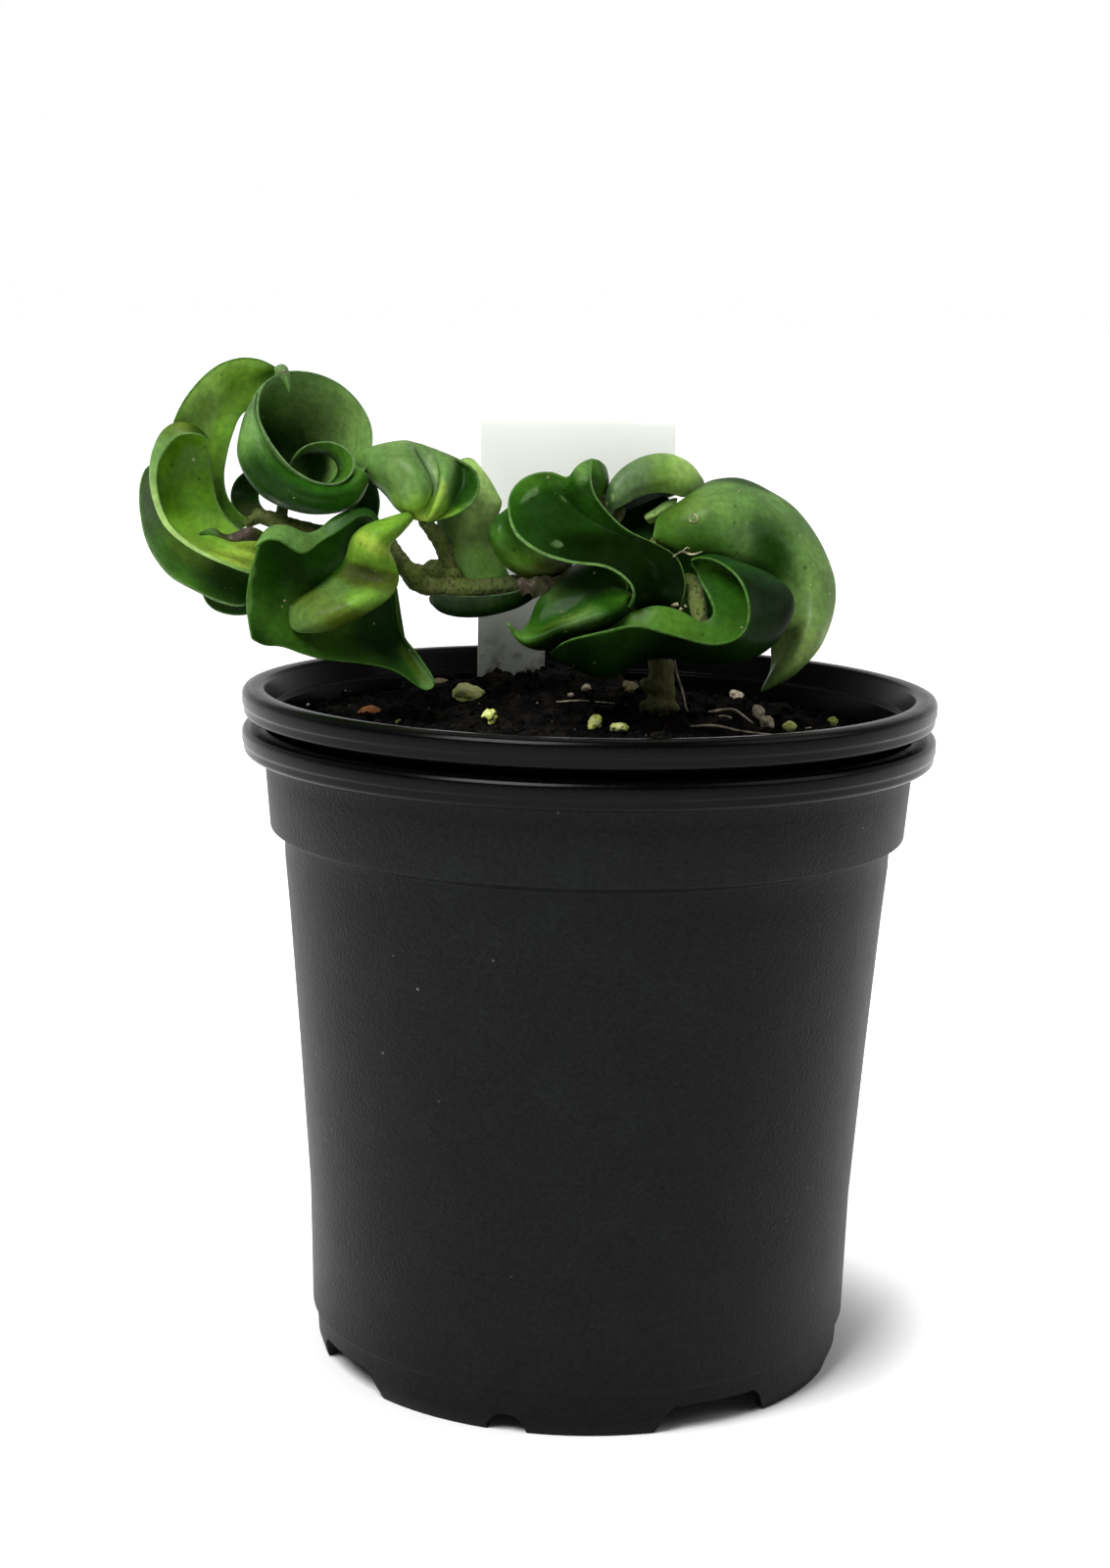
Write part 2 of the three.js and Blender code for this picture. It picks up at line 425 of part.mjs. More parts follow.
function notchCutter(outline, angle, lift) {
  const shape = new THREE.Shape(outline.map(([across, up]) => new THREE.Vector2(across, up)));
  const block = new THREE.ExtrudeGeometry(shape, { depth: 14, bevelEnabled: false });
  block.rotateX(Math.PI / 2);
  block.rotateZ(Math.PI / 2);
  block.translate(FOOT_RADIUS - 8, 0, lift);
  block.rotateZ(angle);
  return bodyOf(block);
}

function withNotches(pot, lift) {
  const large = [[-LARGE_NOTCH.width / 2, -1], [LARGE_NOTCH.width / 2, -1],
    [LARGE_NOTCH.topWidth / 2, LARGE_NOTCH.height], [-LARGE_NOTCH.topWidth / 2, LARGE_NOTCH.height]];
  const small = [[-SMALL_NOTCH.width / 2, -1], [SMALL_NOTCH.width / 2, -1]];
  for (let k = 0; k <= 6; k += 1) {
    const turn = Math.PI * k / 6;
    small.push([SMALL_NOTCH.width / 2 * Math.cos(turn), SMALL_NOTCH.height * Math.sin(turn)]);
  }
  let result = pot;
  for (let quarter = 0; quarter < 4; quarter += 1) {
    const turn = quarter * Math.PI / 2;
    result = result.subtract(notchCutter(large, LARGE_NOTCH_ANGLE + turn, lift));
    result = result.subtract(notchCutter(small, SMALL_NOTCH_ANGLE + turn, lift));
    const drain = new THREE.CylinderGeometry(DRAIN_RADIUS, DRAIN_RADIUS, 8, 12).rotateX(Math.PI / 2);
    drain.translate(DRAIN_DISTANCE, 0, lift + FLOOR_LIFT);
    drain.rotateZ(LARGE_NOTCH_ANGLE + turn);
    result = result.subtract(bodyOf(drain));
  }
  return result;
}

// Soil: a plug that fills the inner pot, with a lumpy top
function soilHeight(x, y) {
  const mound = 9.5 * Math.exp(-((x + 8) ** 2) / 800 - ((y - 34) ** 2) / 700);
  const tilt = 0.012 * -x;
  const ripple = 0.9 * Math.sin(x * 0.19 + 1.3) * Math.cos(y * 0.17) + 0.6 * Math.sin(x * 0.41 - y * 0.36);
  return SOIL_LEVEL + mound + tilt + ripple;
}

function soilPlug() {
  const floor = NESTING_LIFT + FLOOR_LIFT + WALL + SEAT_GAP;
  const side = [[61 - WALL_GAP, floor], [62 - WALL_GAP, NESTING_LIFT + 11.8], [63.1 - WALL_GAP, 41],
    [65.75 - WALL_GAP, 78], [69.5 - WALL_GAP, 127], [69.6 - WALL_GAP, 138.2], [72.9 - WALL_GAP, 139.8]];
  const top = 74.45 - WALL_GAP;
  const points = [new THREE.Vector3(0, 0, floor)];
  const ring = (radius, heightAt) => {
    for (let k = 0; k < POT_SIDES; k += 1) {
      const turn = 2 * Math.PI * k / POT_SIDES;
      const x = radius * Math.cos(turn);
      const y = radius * Math.sin(turn);
      points.push(new THREE.Vector3(x, y, heightAt(x, y)));
    }
  };
  side.forEach(([radius, height]) => ring(radius, () => height));
  for (let k = 0; k < SOIL_RINGS; k += 1) {
    const inward = k / SOIL_RINGS;
    const lowered = k === 0 ? 1.5 : 0;
    ring(top * (1 - inward), (x, y) => soilHeight(x, y) - lowered);
  }
  points.push(new THREE.Vector3(0, 0, soilHeight(0, 0)));
  const rings = side.length + SOIL_RINGS;
  const triangles = [];
  for (let k = 0; k < POT_SIDES; k += 1) {
    const next = (k + 1) % POT_SIDES;
    triangles.push(0, 1 + next, 1 + k);
    for (let level = 0; level < rings - 1; level += 1) {
      const low = 1 + level * POT_SIDES;
      const high = low + POT_SIDES;
      triangles.push(low + k, low + next, high + next, low + k, high + next, high + k);
    }
    const last = 1 + (rings - 1) * POT_SIDES;
    triangles.push(last + k, last + next, points.length - 1);
  }
  return closedBody(points, triangles);
}

function soilWithLumps(plug) {
  const random = seeded(41);
  const named = [[-27, 9, 5.4], [-22, -5, 3.6], [-3, -6, 3.8], [4, -10, 3.4], [-13, 34, 3.4], [-50, 1, 4.6],
    [30, 6, 3], [42, 2, 3], [52, -4, 2.8], [60, -8, 3], [-46, 26, 2.8]];
  const lumps = [...named];
  while (lumps.length < 20) {
    const turn = 2 * Math.PI * random();
    const radius = 66 * Math.sqrt(random());
    lumps.push([radius * Math.cos(turn), radius * Math.sin(turn), 2.2 + 2 * random()]);
  }
  let soil = plug;
  lumps.forEach(([x, y, size]) => {
    const lump = new THREE.IcosahedronGeometry(size, 0);
    lump.rotateZ(random() * 3);
    lump.scale(1, 0.8 + 0.3 * random(), 0.7);
    lump.translate(x, y, soilHeight(x, y) + size * 0.12);
    soil = soil.add(bodyOf(lump));
  });
  return soil;
}

// Tag: a flat plastic panel, narrowing at the right to its stake
function tagBody(grow) {
  const { left, right, top, depth, thickness, foot, stakeWidth } = TAG;
  const shape = new THREE.Shape();
  shape.moveTo(left - grow, foot - grow);
  shape.lineTo(left + stakeWidth * 0.45, foot - 6 - grow);
  shape.lineTo(left + stakeWidth + grow, foot + 4);
  shape.lineTo(left + stakeWidth + grow, 172);
  shape.quadraticCurveTo(left + stakeWidth + 2 + grow, 181, right - 14, 184);
  shape.quadraticCurveTo(right - 2, 186, right + grow, 194);
  shape.lineTo(right + grow, top - 2);
  shape.quadraticCurveTo(right + grow, top + grow, right - 2, top + grow);
  shape.lineTo(left + 2, top + grow);
  shape.quadraticCurveTo(left - grow, top + grow, left - grow, top - 2);
  const plate = new THREE.ExtrudeGeometry(shape, {
    depth: thickness + 2 * grow, bevelEnabled: false, curveSegments: 4,
  });
  plate.rotateX(Math.PI / 2);
  plate.translate(0, depth + thickness / 2 + grow, 0);
  return bodyOf(plate);
}

// Stems: round tubes whose radius changes along the curve, joined into one body
function tubeBody({ radii, points }, grow) {
  const curve = curveThrough(points.map(seen));
  const steps = Math.ceil((points.length - 1) * 1.5);
  const frames = curve.computeFrenetFrames(steps, false);
  const vertices = [];
  for (let k = 0; k <= steps; k += 1) {
    const centre = curve.getPointAt(k / steps);
    const place = k / steps * (radii.length - 1);
    const before = Math.min(Math.floor(place), radii.length - 2);
    const radius = THREE.MathUtils.lerp(radii[before], radii[before + 1], place - before) + grow;
    if (k === 0 || k === steps) {
      const outward = frames.tangents[k].clone().multiplyScalar(k === 0 ? -grow : grow);
      centre.add(outward);
    }
    for (let side = 0; side < STEM_SIDES; side += 1) {
      const turn = 2 * Math.PI * side / STEM_SIDES;
      const point = centre.clone();
      point.addScaledVector(frames.normals[k], radius * Math.cos(turn));
      point.addScaledVector(frames.binormals[k], radius * Math.sin(turn));
      vertices.push(point);
    }
  }
  const triangles = [];
  for (let side = 0; side < STEM_SIDES; side += 1) {
    const next = (side + 1) % STEM_SIDES;
    for (let k = 0; k < steps; k += 1) {
      const low = k * STEM_SIDES;
      const high = low + STEM_SIDES;
      triangles.push(low + side, low + next, high + next, low + side, high + next, high + side);
    }
    if (side > 0 && side < STEM_SIDES - 1) {
      const last = steps * STEM_SIDES;
      triangles.push(0, side + 1, side, last, last + side, last + side + 1);
    }
  }
  return closedBody(vertices, triangles);
}

function stemBody(grow) {
  return STEMS.map((stem) => tubeBody(stem, grow)).reduce((whole, tube) => whole.add(tube));
}

// Leaves: a smooth sheet through the rails, given its thickness along the surface normals
function rolledRails({ mouth, end, rings, rim, reach }) {
  const drawn = rings.map(([push, size]) => rim.map((point, index) => {
    const amount = reach[index] ?? 1;
    const shrink = 1 - (1 - size) * amount;
    return point.map((value, axis) => {
      const centre = mouth[axis] + (end[axis] - mouth[axis]) * push * amount;
      return centre + (value - mouth[axis]) * shrink;
    });
  }));
  return [rim, ...drawn];
}

function bladeGrid(leaf, grow) {
  const rails = leaf.roll ? rolledRails(leaf.roll) : leaf.rails;
  const curves = rails.map((rail) => curveThrough(rail.map(seen)));
  const grid = [];
  for (let i = 0; i <= leaf.along; i += 1) {
    const rib = curveThrough(curves.map((curve) => curve.getPoint(i / leaf.along)));
    const row = [];
    for (let j = 0; j <= leaf.across; j += 1) {
      row.push(rib.getPoint(j / leaf.across));
    }
    grid.push(row);
  }
  if (grow > 0) {
    grid.forEach((row) => {
      extend(row[0], row[1], grow);
      extend(row[row.length - 1], row[row.length - 2], grow);
    });
    grid[0].forEach((point, j) => extend(point, grid[1][j], grow));
    grid[leaf.along].forEach((point, j) => extend(point, grid[leaf.along - 1][j], grow));
  }
  return grid;
}

function extend(edge, inner, distance) {
  const outward = edge.clone().sub(inner).setLength(distance);
  edge.add(outward);
}

function marginOf(along, across) {
  const columns = across + 1;
  const start = Array.from({ length: across }, (_, j) => j);
  const right = Array.from({ length: along }, (_, i) => i * columns + across);
  const end = Array.from({ length: across }, (_, j) => along * columns + across - j);
  const left = Array.from({ length: along }, (_, i) => (along - i) * columns);
  return [...start, ...right, ...end, ...left];
}

function bladeBody(leaf, grow) {
  const grid = bladeGrid(leaf, grow);
  const columns = leaf.across + 1;
  const half = leaf.thickness / 2 + grow;
  const front = [];
  const back = [];
  grid.forEach((row, i) => row.forEach((point, j) => {
    const lengthwise = grid[Math.min(i + 1, leaf.along)][j].clone().sub(grid[Math.max(i - 1, 0)][j]);
    const crosswise = row[Math.min(j + 1, leaf.across)].clone().sub(row[Math.max(j - 1, 0)]);
    const normal = lengthwise.cross(crosswise).normalize();
    front.push(point.clone().addScaledVector(normal, half));
    back.push(point.clone().addScaledVector(normal, -half));
  }));
  const count = front.length;
  const triangles = [];
  for (let i = 0; i < leaf.along; i += 1) {
    for (let j = 0; j < leaf.across; j += 1) {
      const a = i * columns + j;
      const [b, c, d] = [a + 1, a + columns, a + columns + 1];
      triangles.push(a, c, d, a, d, b);
      triangles.push(count + a, count + d, count + c, count + a, count + b, count + d);
    }
  }
  const rimLoop = marginOf(leaf.along, leaf.across);
  rimLoop.forEach((here, k) => {
    const next = rimLoop[(k + 1) % rimLoop.length];
    triangles.push(here, next, count + next, here, count + next, count + here);
  });
  return closedBody([...front, ...back], triangles);
}

function meets(first, second) {
  const a = first.boundingBox();
  const b = second.boundingBox();
  return [0, 1, 2].every((axis) => a.min[axis] < b.max[axis] && b.min[axis] < a.max[axis]);
}

// Assembly
const group = new THREE.Group();

function addPart(name, solid, colour, roughness) {
  const material = new THREE.MeshStandardMaterial({ color: colour, roughness, metalness: 0 });
  const mesh = new THREE.Mesh(geometryOf(solid), material);
  mesh.name = name;
  group.add(mesh);
}

const stem = largestBody(stemBody(0));
const stemClearance = stemBody(SEAT_GAP);
const tag = tagBody(0);
const soil = soilWithLumps(soilPlug()).subtract(stemClearance).subtract(tagBody(SEAT_GAP));

addPart('outer_pot', withNotches(turned(outerPotOutline()), 0), 0x1d1f20, 0.5);
addPart('inner_pot', withNotches(turned(innerPotOutline()), NESTING_LIFT), 0x1d1f20, 0.5);
addPart('soil', largestBody(soil), 0x1c1813, 0.95);
addPart('tag', tag, 0xf2f2ee, 0.4);
addPart('stem', stem, 0x4a4630, 0.7);

const placed = [];
Object.entries(LEAVES).forEach(([name, leaf]) => {
  let blade = bladeBody(leaf, 0);
  [stemClearance, ...placed].forEach((other) => {
    if (meets(blade, other)) {
      blade = blade.subtract(other);
    }
  });
  addPart(name, largestBody(blade), leaf.colour, 0.35);
  placed.push(bladeBody(leaf, LEAF_GAP));
});

// The origin stands under the middle of the whole outline
const bounds = new THREE.Box3().setFromObject(group);
group.position.x = -(bounds.min.x + bounds.max.x) / 2;
group.position.y = -(bounds.min.y + bounds.max.y) / 2;

export default group;
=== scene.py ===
"""A potted hindu rope plant, finished piece by piece round the packed model of the part.

The tables give millimetres measured from the pot's axis. The scene itself is in metres.
"""
import math
import random

import bmesh
import bpy
from mathutils import Matrix, Vector, noise
from mathutils.bvhtree import BVHTree


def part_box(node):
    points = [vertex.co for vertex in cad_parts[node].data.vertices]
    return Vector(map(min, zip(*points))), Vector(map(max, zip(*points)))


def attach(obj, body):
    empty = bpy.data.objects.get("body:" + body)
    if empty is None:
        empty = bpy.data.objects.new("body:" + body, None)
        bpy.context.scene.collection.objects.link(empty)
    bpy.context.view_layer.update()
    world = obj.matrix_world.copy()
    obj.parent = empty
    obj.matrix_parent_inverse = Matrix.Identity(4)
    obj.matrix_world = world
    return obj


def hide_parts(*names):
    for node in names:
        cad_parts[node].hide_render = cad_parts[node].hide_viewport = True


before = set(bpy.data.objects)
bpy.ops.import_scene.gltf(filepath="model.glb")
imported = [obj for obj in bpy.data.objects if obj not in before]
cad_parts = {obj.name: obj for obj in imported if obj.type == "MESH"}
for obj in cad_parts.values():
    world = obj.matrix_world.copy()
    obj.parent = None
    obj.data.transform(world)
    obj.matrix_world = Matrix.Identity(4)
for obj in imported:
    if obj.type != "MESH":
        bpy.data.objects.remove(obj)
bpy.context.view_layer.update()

bl_info = {
    "name": "Potted Rope Plant",
    "version": (1, 0, 0),
    "blender": (4, 5, 0),
    "location": "View3D > Sidebar > Rope Plant",
    "description": "Builds a potted hindu rope plant, its soil, tag and nested pots, and a plain studio",
    "category": "Object",
}

BODY = "root"
MM = 0.001

# The pots stand round this axis; the part's own origin lies under the middle of its outline
POT_LOW, POT_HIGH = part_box("outer_pot")
POT_AXIS = Vector(((POT_LOW.x + POT_HIGH.x) / 2, (POT_LOW.y + POT_HIGH.y) / 2, 0))

# Leaf and stem points are [across, up, depth]: a front elevation seen by this eye
EYE = Vector((-7.8, -649, 253))

# Soil
SOIL_LEVEL = 152.5
SOIL_RADIUS = 74.05
MOUNDS = [{"height": 9.5, "x": -8, "y": 34, "reach_x": 800, "reach_y": 700},
          {"height": 4.6, "x": 17, "y": 7, "reach_x": 170, "reach_y": 130}]
SOIL_SIDE = [(72.5, 139.8), (69.2, 138.2), (69.1, 127), (65.35, 78), (62.7, 41), (61.6, 20.8), (60.6, 18)]

# Foot of the pots: notches by their angle from +X, widths and height, drains by their place and size
LARGE_NOTCH = {"angle": -60, "width": 31, "top": 24, "height": 6.4}
SMALL_NOTCH = {"angle": -105, "width": 9.5, "height": 4.6}
DRAIN = {"radius": 4, "distance": 50, "height": 8, "depth": 8}
NOTCH_CORNER = 1.4
CUTTER_DEPTH = 16
NESTING_LIFT = 9
FOOT_RADIUS = 62.5

# Walls of the two nested pots, as radius and height round the whole section
OUTER_SECTION = [
    (0, 7.5), (60.3, 7.5), (60.8, 0), (62.5, 0), (63.8, 4), (64.2, 10.4), (65.2, 11.2), (66, 41),
    (68.65, 78), (71.2, 110), (72.3, 122), (72.5, 128), (75.8, 129.5), (76.9, 142.5), (77.2, 147.4),
    (81.5, 147.4), (82.1, 148.2), (82.1, 149.7), (82.5, 150.1), (82.5, 152.6), (81.9, 153.5), (80.3, 153.8),
    (77.5, 153.6), (77, 152.6),
    (75.7, 142.5), (74.6, 129.9), (71.3, 128.4), (71.1, 122), (70, 110), (67.45, 78), (64.8, 41),
    (64, 12), (62.8, 8.7), (0, 8.7),
]
INNER_SECTION = [
    (0, 16.5), (59.2, 16.5), (59.8, 9), (61.4, 9), (62.6, 13), (63.2, 20), (64.3, 41), (66.95, 78),
    (69.5, 110), (70.6, 122), (70.8, 137), (74.1, 138.6), (75.1, 146), (76.1, 152.4), (76.4, 156.2),
    (81.5, 156.2), (82.1, 157), (82.1, 158.6), (82.5, 159), (82.5, 161.5), (81.9, 162.4), (80.3, 162.8),
    (77.6, 162.6), (77.1, 161.6),
    (76, 157), (74.9, 156.4), (73.9, 146), (72.9, 139.4), (69.6, 138), (69.4, 122), (68.3, 110),
    (65.75, 78), (63.1, 41), (62, 20.4), (61, 17.7), (0, 17.7),
]

# Tag
TAG = {"left": -28, "right": 20.5, "top": 224.5, "depth": 39, "foot": 108, "stake": 17}

# Each leaf: its rails run from one end to the other, ordered from one margin to the other
LEAVES = {
    "hook_upper": {
        "thickness": 2.2,
        "rails": [
            [(-74, 237, 5), (-78.5, 238.4, 4), (-83.5, 238.7, 3), (-89.3, 236.6, 1), (-95.5, 230.5, 0),
             (-99.5, 222.6, 0), (-101, 214, 1), (-99.5, 206, 3), (-94.5, 199, 5), (-86, 195.5, 6)],
            [(-74.6, 236, 8), (-78.6, 236, 8), (-83, 235.6, 7.5), (-88, 232.5, 6), (-93, 226.5, 5.5),
             (-95.5, 219.5, 5.5), (-96.5, 212, 6), (-95.5, 206, 7), (-91, 200.5, 8), (-84.5, 197.5, 8)],
            [(-75, 235.4, 9), (-78.5, 234, 10), (-82, 232, 9.5), (-86, 228.8, 8.5), (-89.3, 223.6, 8),
             (-91, 217, 8), (-92, 211, 9), (-91, 206, 9.5), (-87.5, 201.8, 9), (-82.5, 199, 8)],
            [(-75.5, 234.5, 8), (-77.9, 231.8, 9), (-80.3, 228, 9), (-83.4, 225, 7), (-85, 221, 6),
             (-86.4, 216, 6.5), (-87.1, 211.2, 7.5), (-86.3, 206.4, 8), (-84, 203, 7), (-80.5, 200.2, 6)],
        ],
    },
    "hook_lower": {
        "thickness": 2.2,
        "rails": [
            [(-90.1, 219.9, -5), (-92.9, 220.7, -7.5), (-96.1, 220.7, -8.5), (-99.1, 219.3, -7.5),
             (-102.8, 213.3, -4), (-102.2, 205, -3), (-99.5, 199, -4.5), (-94.1, 194.5, -7),
             (-87.9, 191.4, -9), (-80.2, 188.7, -10)],
            [(-90.5, 220.2, -3), (-94, 222.3, -4.5), (-98.5, 222.8, -4.5), (-102, 220, -4),
             (-104.2, 213.5, -2), (-103.4, 205, -1.5), (-100.6, 198.8, -3), (-95, 194.2, -6),
             (-88.5, 191.2, -8), (-80.5, 188.3, -9)],
            [(-91, 219, -2), (-93.5, 219.8, 0), (-95.8, 219, 1.5), (-97.5, 216, 2.5), (-98, 211, 3),
             (-97, 205, 3), (-94.5, 200, 3), (-91, 196.5, 2.5), (-86.5, 193.8, 2), (-79.5, 191.8, 1)],
            [(-91.5, 218, -1), (-91, 217.5, 1), (-90.5, 216, 2), (-90, 213.5, 2.5), (-89.5, 210.5, 2.5),
             (-89, 206.5, 2), (-87.5, 203, 1.5), (-85, 200, 1), (-82, 198, 0), (-78, 196, -1)],
        ],
    },
    "hook_back": {
        "thickness": 2.2,
        "rails": [
            [(-103, 216, 9), (-106.4, 211.6, 9), (-107.3, 204, 8), (-105.5, 195, 6), (-101, 188, 4),
             (-94.5, 183.8, 2), (-88, 181, 1), (-80, 179.5, 1)],
            [(-102, 214, 14), (-104, 209, 15), (-104.5, 203, 14), (-102.5, 196, 12), (-98.5, 190.5, 10),
             (-92.5, 187, 8), (-86, 185, 6), (-78, 183.5, 5)],
            [(-100, 212, 17), (-101, 208, 18), (-100.5, 203, 18), (-98.5, 198, 17), (-95, 194, 15),
             (-90, 191.5, 12), (-84.5, 190, 10), (-77, 188.5, 8)],
        ],
    },
    "hook_under": {
        "thickness": 2.0,
        "rails": [
            [(-94, 184.8, 8), (-91.5, 180.4, 8), (-87, 178.3, 7), (-82, 178.2, 6), (-77, 180, 5)],
            [(-92.5, 185.4, 13), (-90, 183, 13), (-86, 181.3, 12), (-81, 181.3, 10.5), (-76, 182.3, 8.5)],
            [(-91, 187, 16), (-88, 186, 16), (-84, 185, 15.5), (-80, 185, 14), (-75, 185.5, 12)],
        ],
    },
    "snail": {
        "thickness": 1.9,
        "roll": {
            "mouth": (-65.5, 217, -4),
            "end": (-74, 208.5, 17),
            "rings": [(0.25, 0.97), (0.6, 0.84), (0.86, 0.54), (1, 0.2)],
            "rim": [(-70.5, 215.6, 0), (-68.6, 218.1, -1), (-65, 219.5, -2.5), (-61, 219.4, -4),
             (-57.6, 217.4, -6), (-56.5, 214.2, -8), (-58.4, 211, -10), (-62.2, 209.8, -11),
             (-66.8, 210.8, -11.5), (-71.8, 213.8, -11), (-76.2, 219.2, -9), (-79.1, 225.6, -5),
             (-78.6, 231.2, -1), (-74.5, 235.3, 3), (-68.5, 236.2, 5), (-61.5, 234.2, 5.5),
             (-55.7, 229.6, 4), (-52.4, 223, 1), (-52.6, 216.2, -3.5), (-55.7, 210.5, -8.5)],
            "reach": [0.25, 0.25, 0.25, 0.25, 0.25, 0.25, 0.25, 0.25, 0.25, 0.25, 0.3, 0.5, 0.8],
        },
    },
    "shade_leaf": {
        "thickness": 2.0,
        "rails": [
            [(-60, 213, 12), (-60, 209, 12), (-59.5, 205, 11), (-57, 201, 10), (-55, 197, 9)],
            [(-56, 214, 15), (-55.5, 209, 15), (-55, 205, 14), (-54, 201, 12), (-53, 197, 10)],
            [(-52.5, 213, 11), (-50.8, 208.5, 11), (-50.3, 205, 11), (-51, 201, 10), (-51, 197, 9)],
        ],
    },
    "bud_leaf": {
        "thickness": 1.8,
        "rails": [
            [(-82, 212.6, 12), (-84.8, 210.3, 12), (-86, 206.5, 12), (-84.8, 203, 11), (-81.5, 200.6, 10)],
            [(-80, 211.5, 15), (-82, 209.5, 16), (-83, 206.5, 16), (-82, 204, 15), (-79.5, 202, 13)],
            [(-77.5, 211, 16), (-78.5, 209, 17), (-79, 206.5, 17.5), (-78.5, 204.5, 17), (-77, 203, 15)],
        ],
    },
    "fold_back": {
        "thickness": 2.4,
        "rails": [
            [(-80.2, 194.1, -22), (-77.2, 196.2, -23), (-73.5, 195.8, -22), (-68.6, 192.9, -18),
             (-64.2, 196, -12), (-59.4, 198.9, -10), (-54.1, 202.5, -8), (-50.3, 199.3, -8),
             (-47.2, 187.7, -7), (-45.2, 174.9, -6), (-41.2, 169.6, -7), (-36.9, 163.5, -9.6)],
            [(-79, 195.8, -20), (-76, 198.2, -18), (-72.5, 198.8, -15), (-68, 196.9, -12),
             (-64.5, 198, -9), (-60.5, 201.2, -7), (-54.5, 203.3, -6), (-50.5, 200, -7), (-47.5, 188, -6),
             (-45.5, 175, -5), (-41.5, 169.5, -6), (-37, 163.4, -9)],
            [(-81, 189, -21), (-75.5, 190, -13), (-71, 190, -9), (-66, 189.5, -6), (-61.5, 191, -4.5),
             (-57.5, 192, -4), (-53, 191.5, -3.5), (-49.5, 188, -3.5), (-47, 180, -3.5),
             (-44.5, 171.5, -5), (-41, 166.5, -7), (-37, 162.4, -9.6)],
            [(-82, 180.5, -22), (-76.5, 180, -15), (-71.5, 179, -11), (-66.5, 178, -8), (-61.5, 177.5, -6),
             (-57, 177, -5), (-52.5, 175.5, -4.5), (-49, 173, -5), (-46.5, 170, -6), (-43.5, 167, -7.5),
             (-40.6, 163.9, -9), (-37.2, 161.5, -10.4)],
            [(-80.8, 172.5, -22), (-77.5, 171, -19), (-73.5, 170.8, -17), (-68.5, 169, -15),
             (-63.5, 167.9, -13.5), (-58, 167.3, -12.5), (-53, 166.8, -12), (-48.5, 166, -11.5),
             (-45.5, 164.8, -11), (-42.5, 162.9, -11), (-40.3, 161.4, -11), (-37.6, 160.4, -11.3)],
        ],
    },
    "fold_front": {
        "thickness": 2.4,
        "left": [(-43.6, 203.3), (-46.9, 202.4), (-50.1, 201.4), (-53.3, 200.2), (-55.9, 198.5),
         (-57.3, 196.4), (-57.9, 194), (-59.1, 191.5), (-61.4, 189.1), (-64.6, 186.7), (-68.1, 183.8),
         (-71.1, 181.4), (-72.8, 179.5)],
        "right": [(-42.2, 202.2), (-43.8, 200.3), (-45.7, 198), (-47.7, 196.1), (-48, 194.2), (-47, 192.2),
         (-46.1, 190.1), (-45.6, 187.8), (-46.3, 185), (-48.3, 182.3), (-52.7, 179.5), (-58.5, 176.1),
         (-64.8, 173.4)],
        "belly": {11: (-0.9, -0.9), 12: (-2.1, -1.6)},
        "depths": [
            (-12, -11, -11, -10, -9, -8, -7, -6, -6, -7, -9, -11, -12),
            (-12.5, -13.5, -15, -16, -16, -15.5, -13.5, -10.5, -9.5, -12, -15, -17, -14),
            (-13, -15, -17, -18.5, -19, -18.5, -16.5, -13.5, -12.5, -15.5, -18, -20, -15.5),
            (-12.5, -14, -15.5, -17, -17.5, -17, -16, -14.5, -15, -18.5, -20, -20.5, -15.5),
            (-12, -12, -12.5, -13.5, -14, -14, -14, -14, -15, -17, -17.5, -16.5, -14),
        ],
    },
    "cap_leaf": {
        "thickness": 2.0,
        "rails": [
            [(-52.8, 219.5, 5), (-55.5, 216.9, 4), (-56.2, 214.8, 3), (-54.1, 212.1, 2), (-50.9, 209.2, 0),
             (-48.3, 206.5, -2), (-46.7, 204, -4), (-44.8, 201.9, -6)],
            [(-51.4, 220.2, 2), (-53.7, 217.2, -2), (-53.7, 214.4, -4), (-51.3, 211.5, -5),
             (-48.8, 208.8, -5), (-47.1, 206.3, -6), (-45.7, 204.2, -6), (-43.9, 201.7, -7)],
            [(-49.6, 220.7, 0), (-50.5, 217.7, -5), (-50, 214.5, -8), (-48.1, 211.6, -9),
             (-46.5, 208.8, -9), (-46, 206.1, -9), (-45, 203.8, -8.5), (-42.9, 201.5, -8.5)],
            [(-47.5, 221, 0), (-47.2, 217.8, -6.5), (-46.3, 214.6, -10), (-44.6, 211.6, -11.5),
             (-43.5, 208.9, -11.5), (-43.7, 206.1, -11), (-43.6, 203.6, -10), (-42, 201.5, -9.5)],
            [(-45.2, 220.6, 1), (-44.2, 217.8, -7), (-42.4, 214.9, -10.5), (-40.5, 211.7, -12.5),
             (-39.8, 209, -12.5), (-40.7, 206.2, -12), (-41.6, 203.6, -11), (-41.1, 201.3, -10)],
            [(-43.6, 220.1, 2), (-42.4, 217.2, -2), (-40.5, 214.2, -3.5), (-38.9, 211.5, -5),
             (-38.4, 208.7, -6.5), (-39.3, 206.2, -8.5), (-40.4, 203.6, -9.5), (-40.4, 201.3, -9.8)],
            [(-40.3, 219.3, 2.5), (-39.2, 216.5, -2), (-37.7, 213.8, -4.5), (-37, 211.1, -6.5),
             (-37, 208.5, -7.5), (-38.1, 206, -9), (-39.2, 203.4, -10), (-39.7, 201.1, -10)],
            [(-36.6, 218.4, 3), (-36.6, 215.7, -1.5), (-36.3, 212.9, -3.5), (-36.5, 210.4, -4.5),
             (-37, 208.1, -5.5), (-37.6, 205.5, -7.5), (-38.5, 203.2, -9.5), (-39.2, 201.1, -10.5)],
            [(-33.6, 217.3, 2), (-34.3, 215, -3.5), (-35, 212.5, -6.5), (-35.4, 210, -8.5),
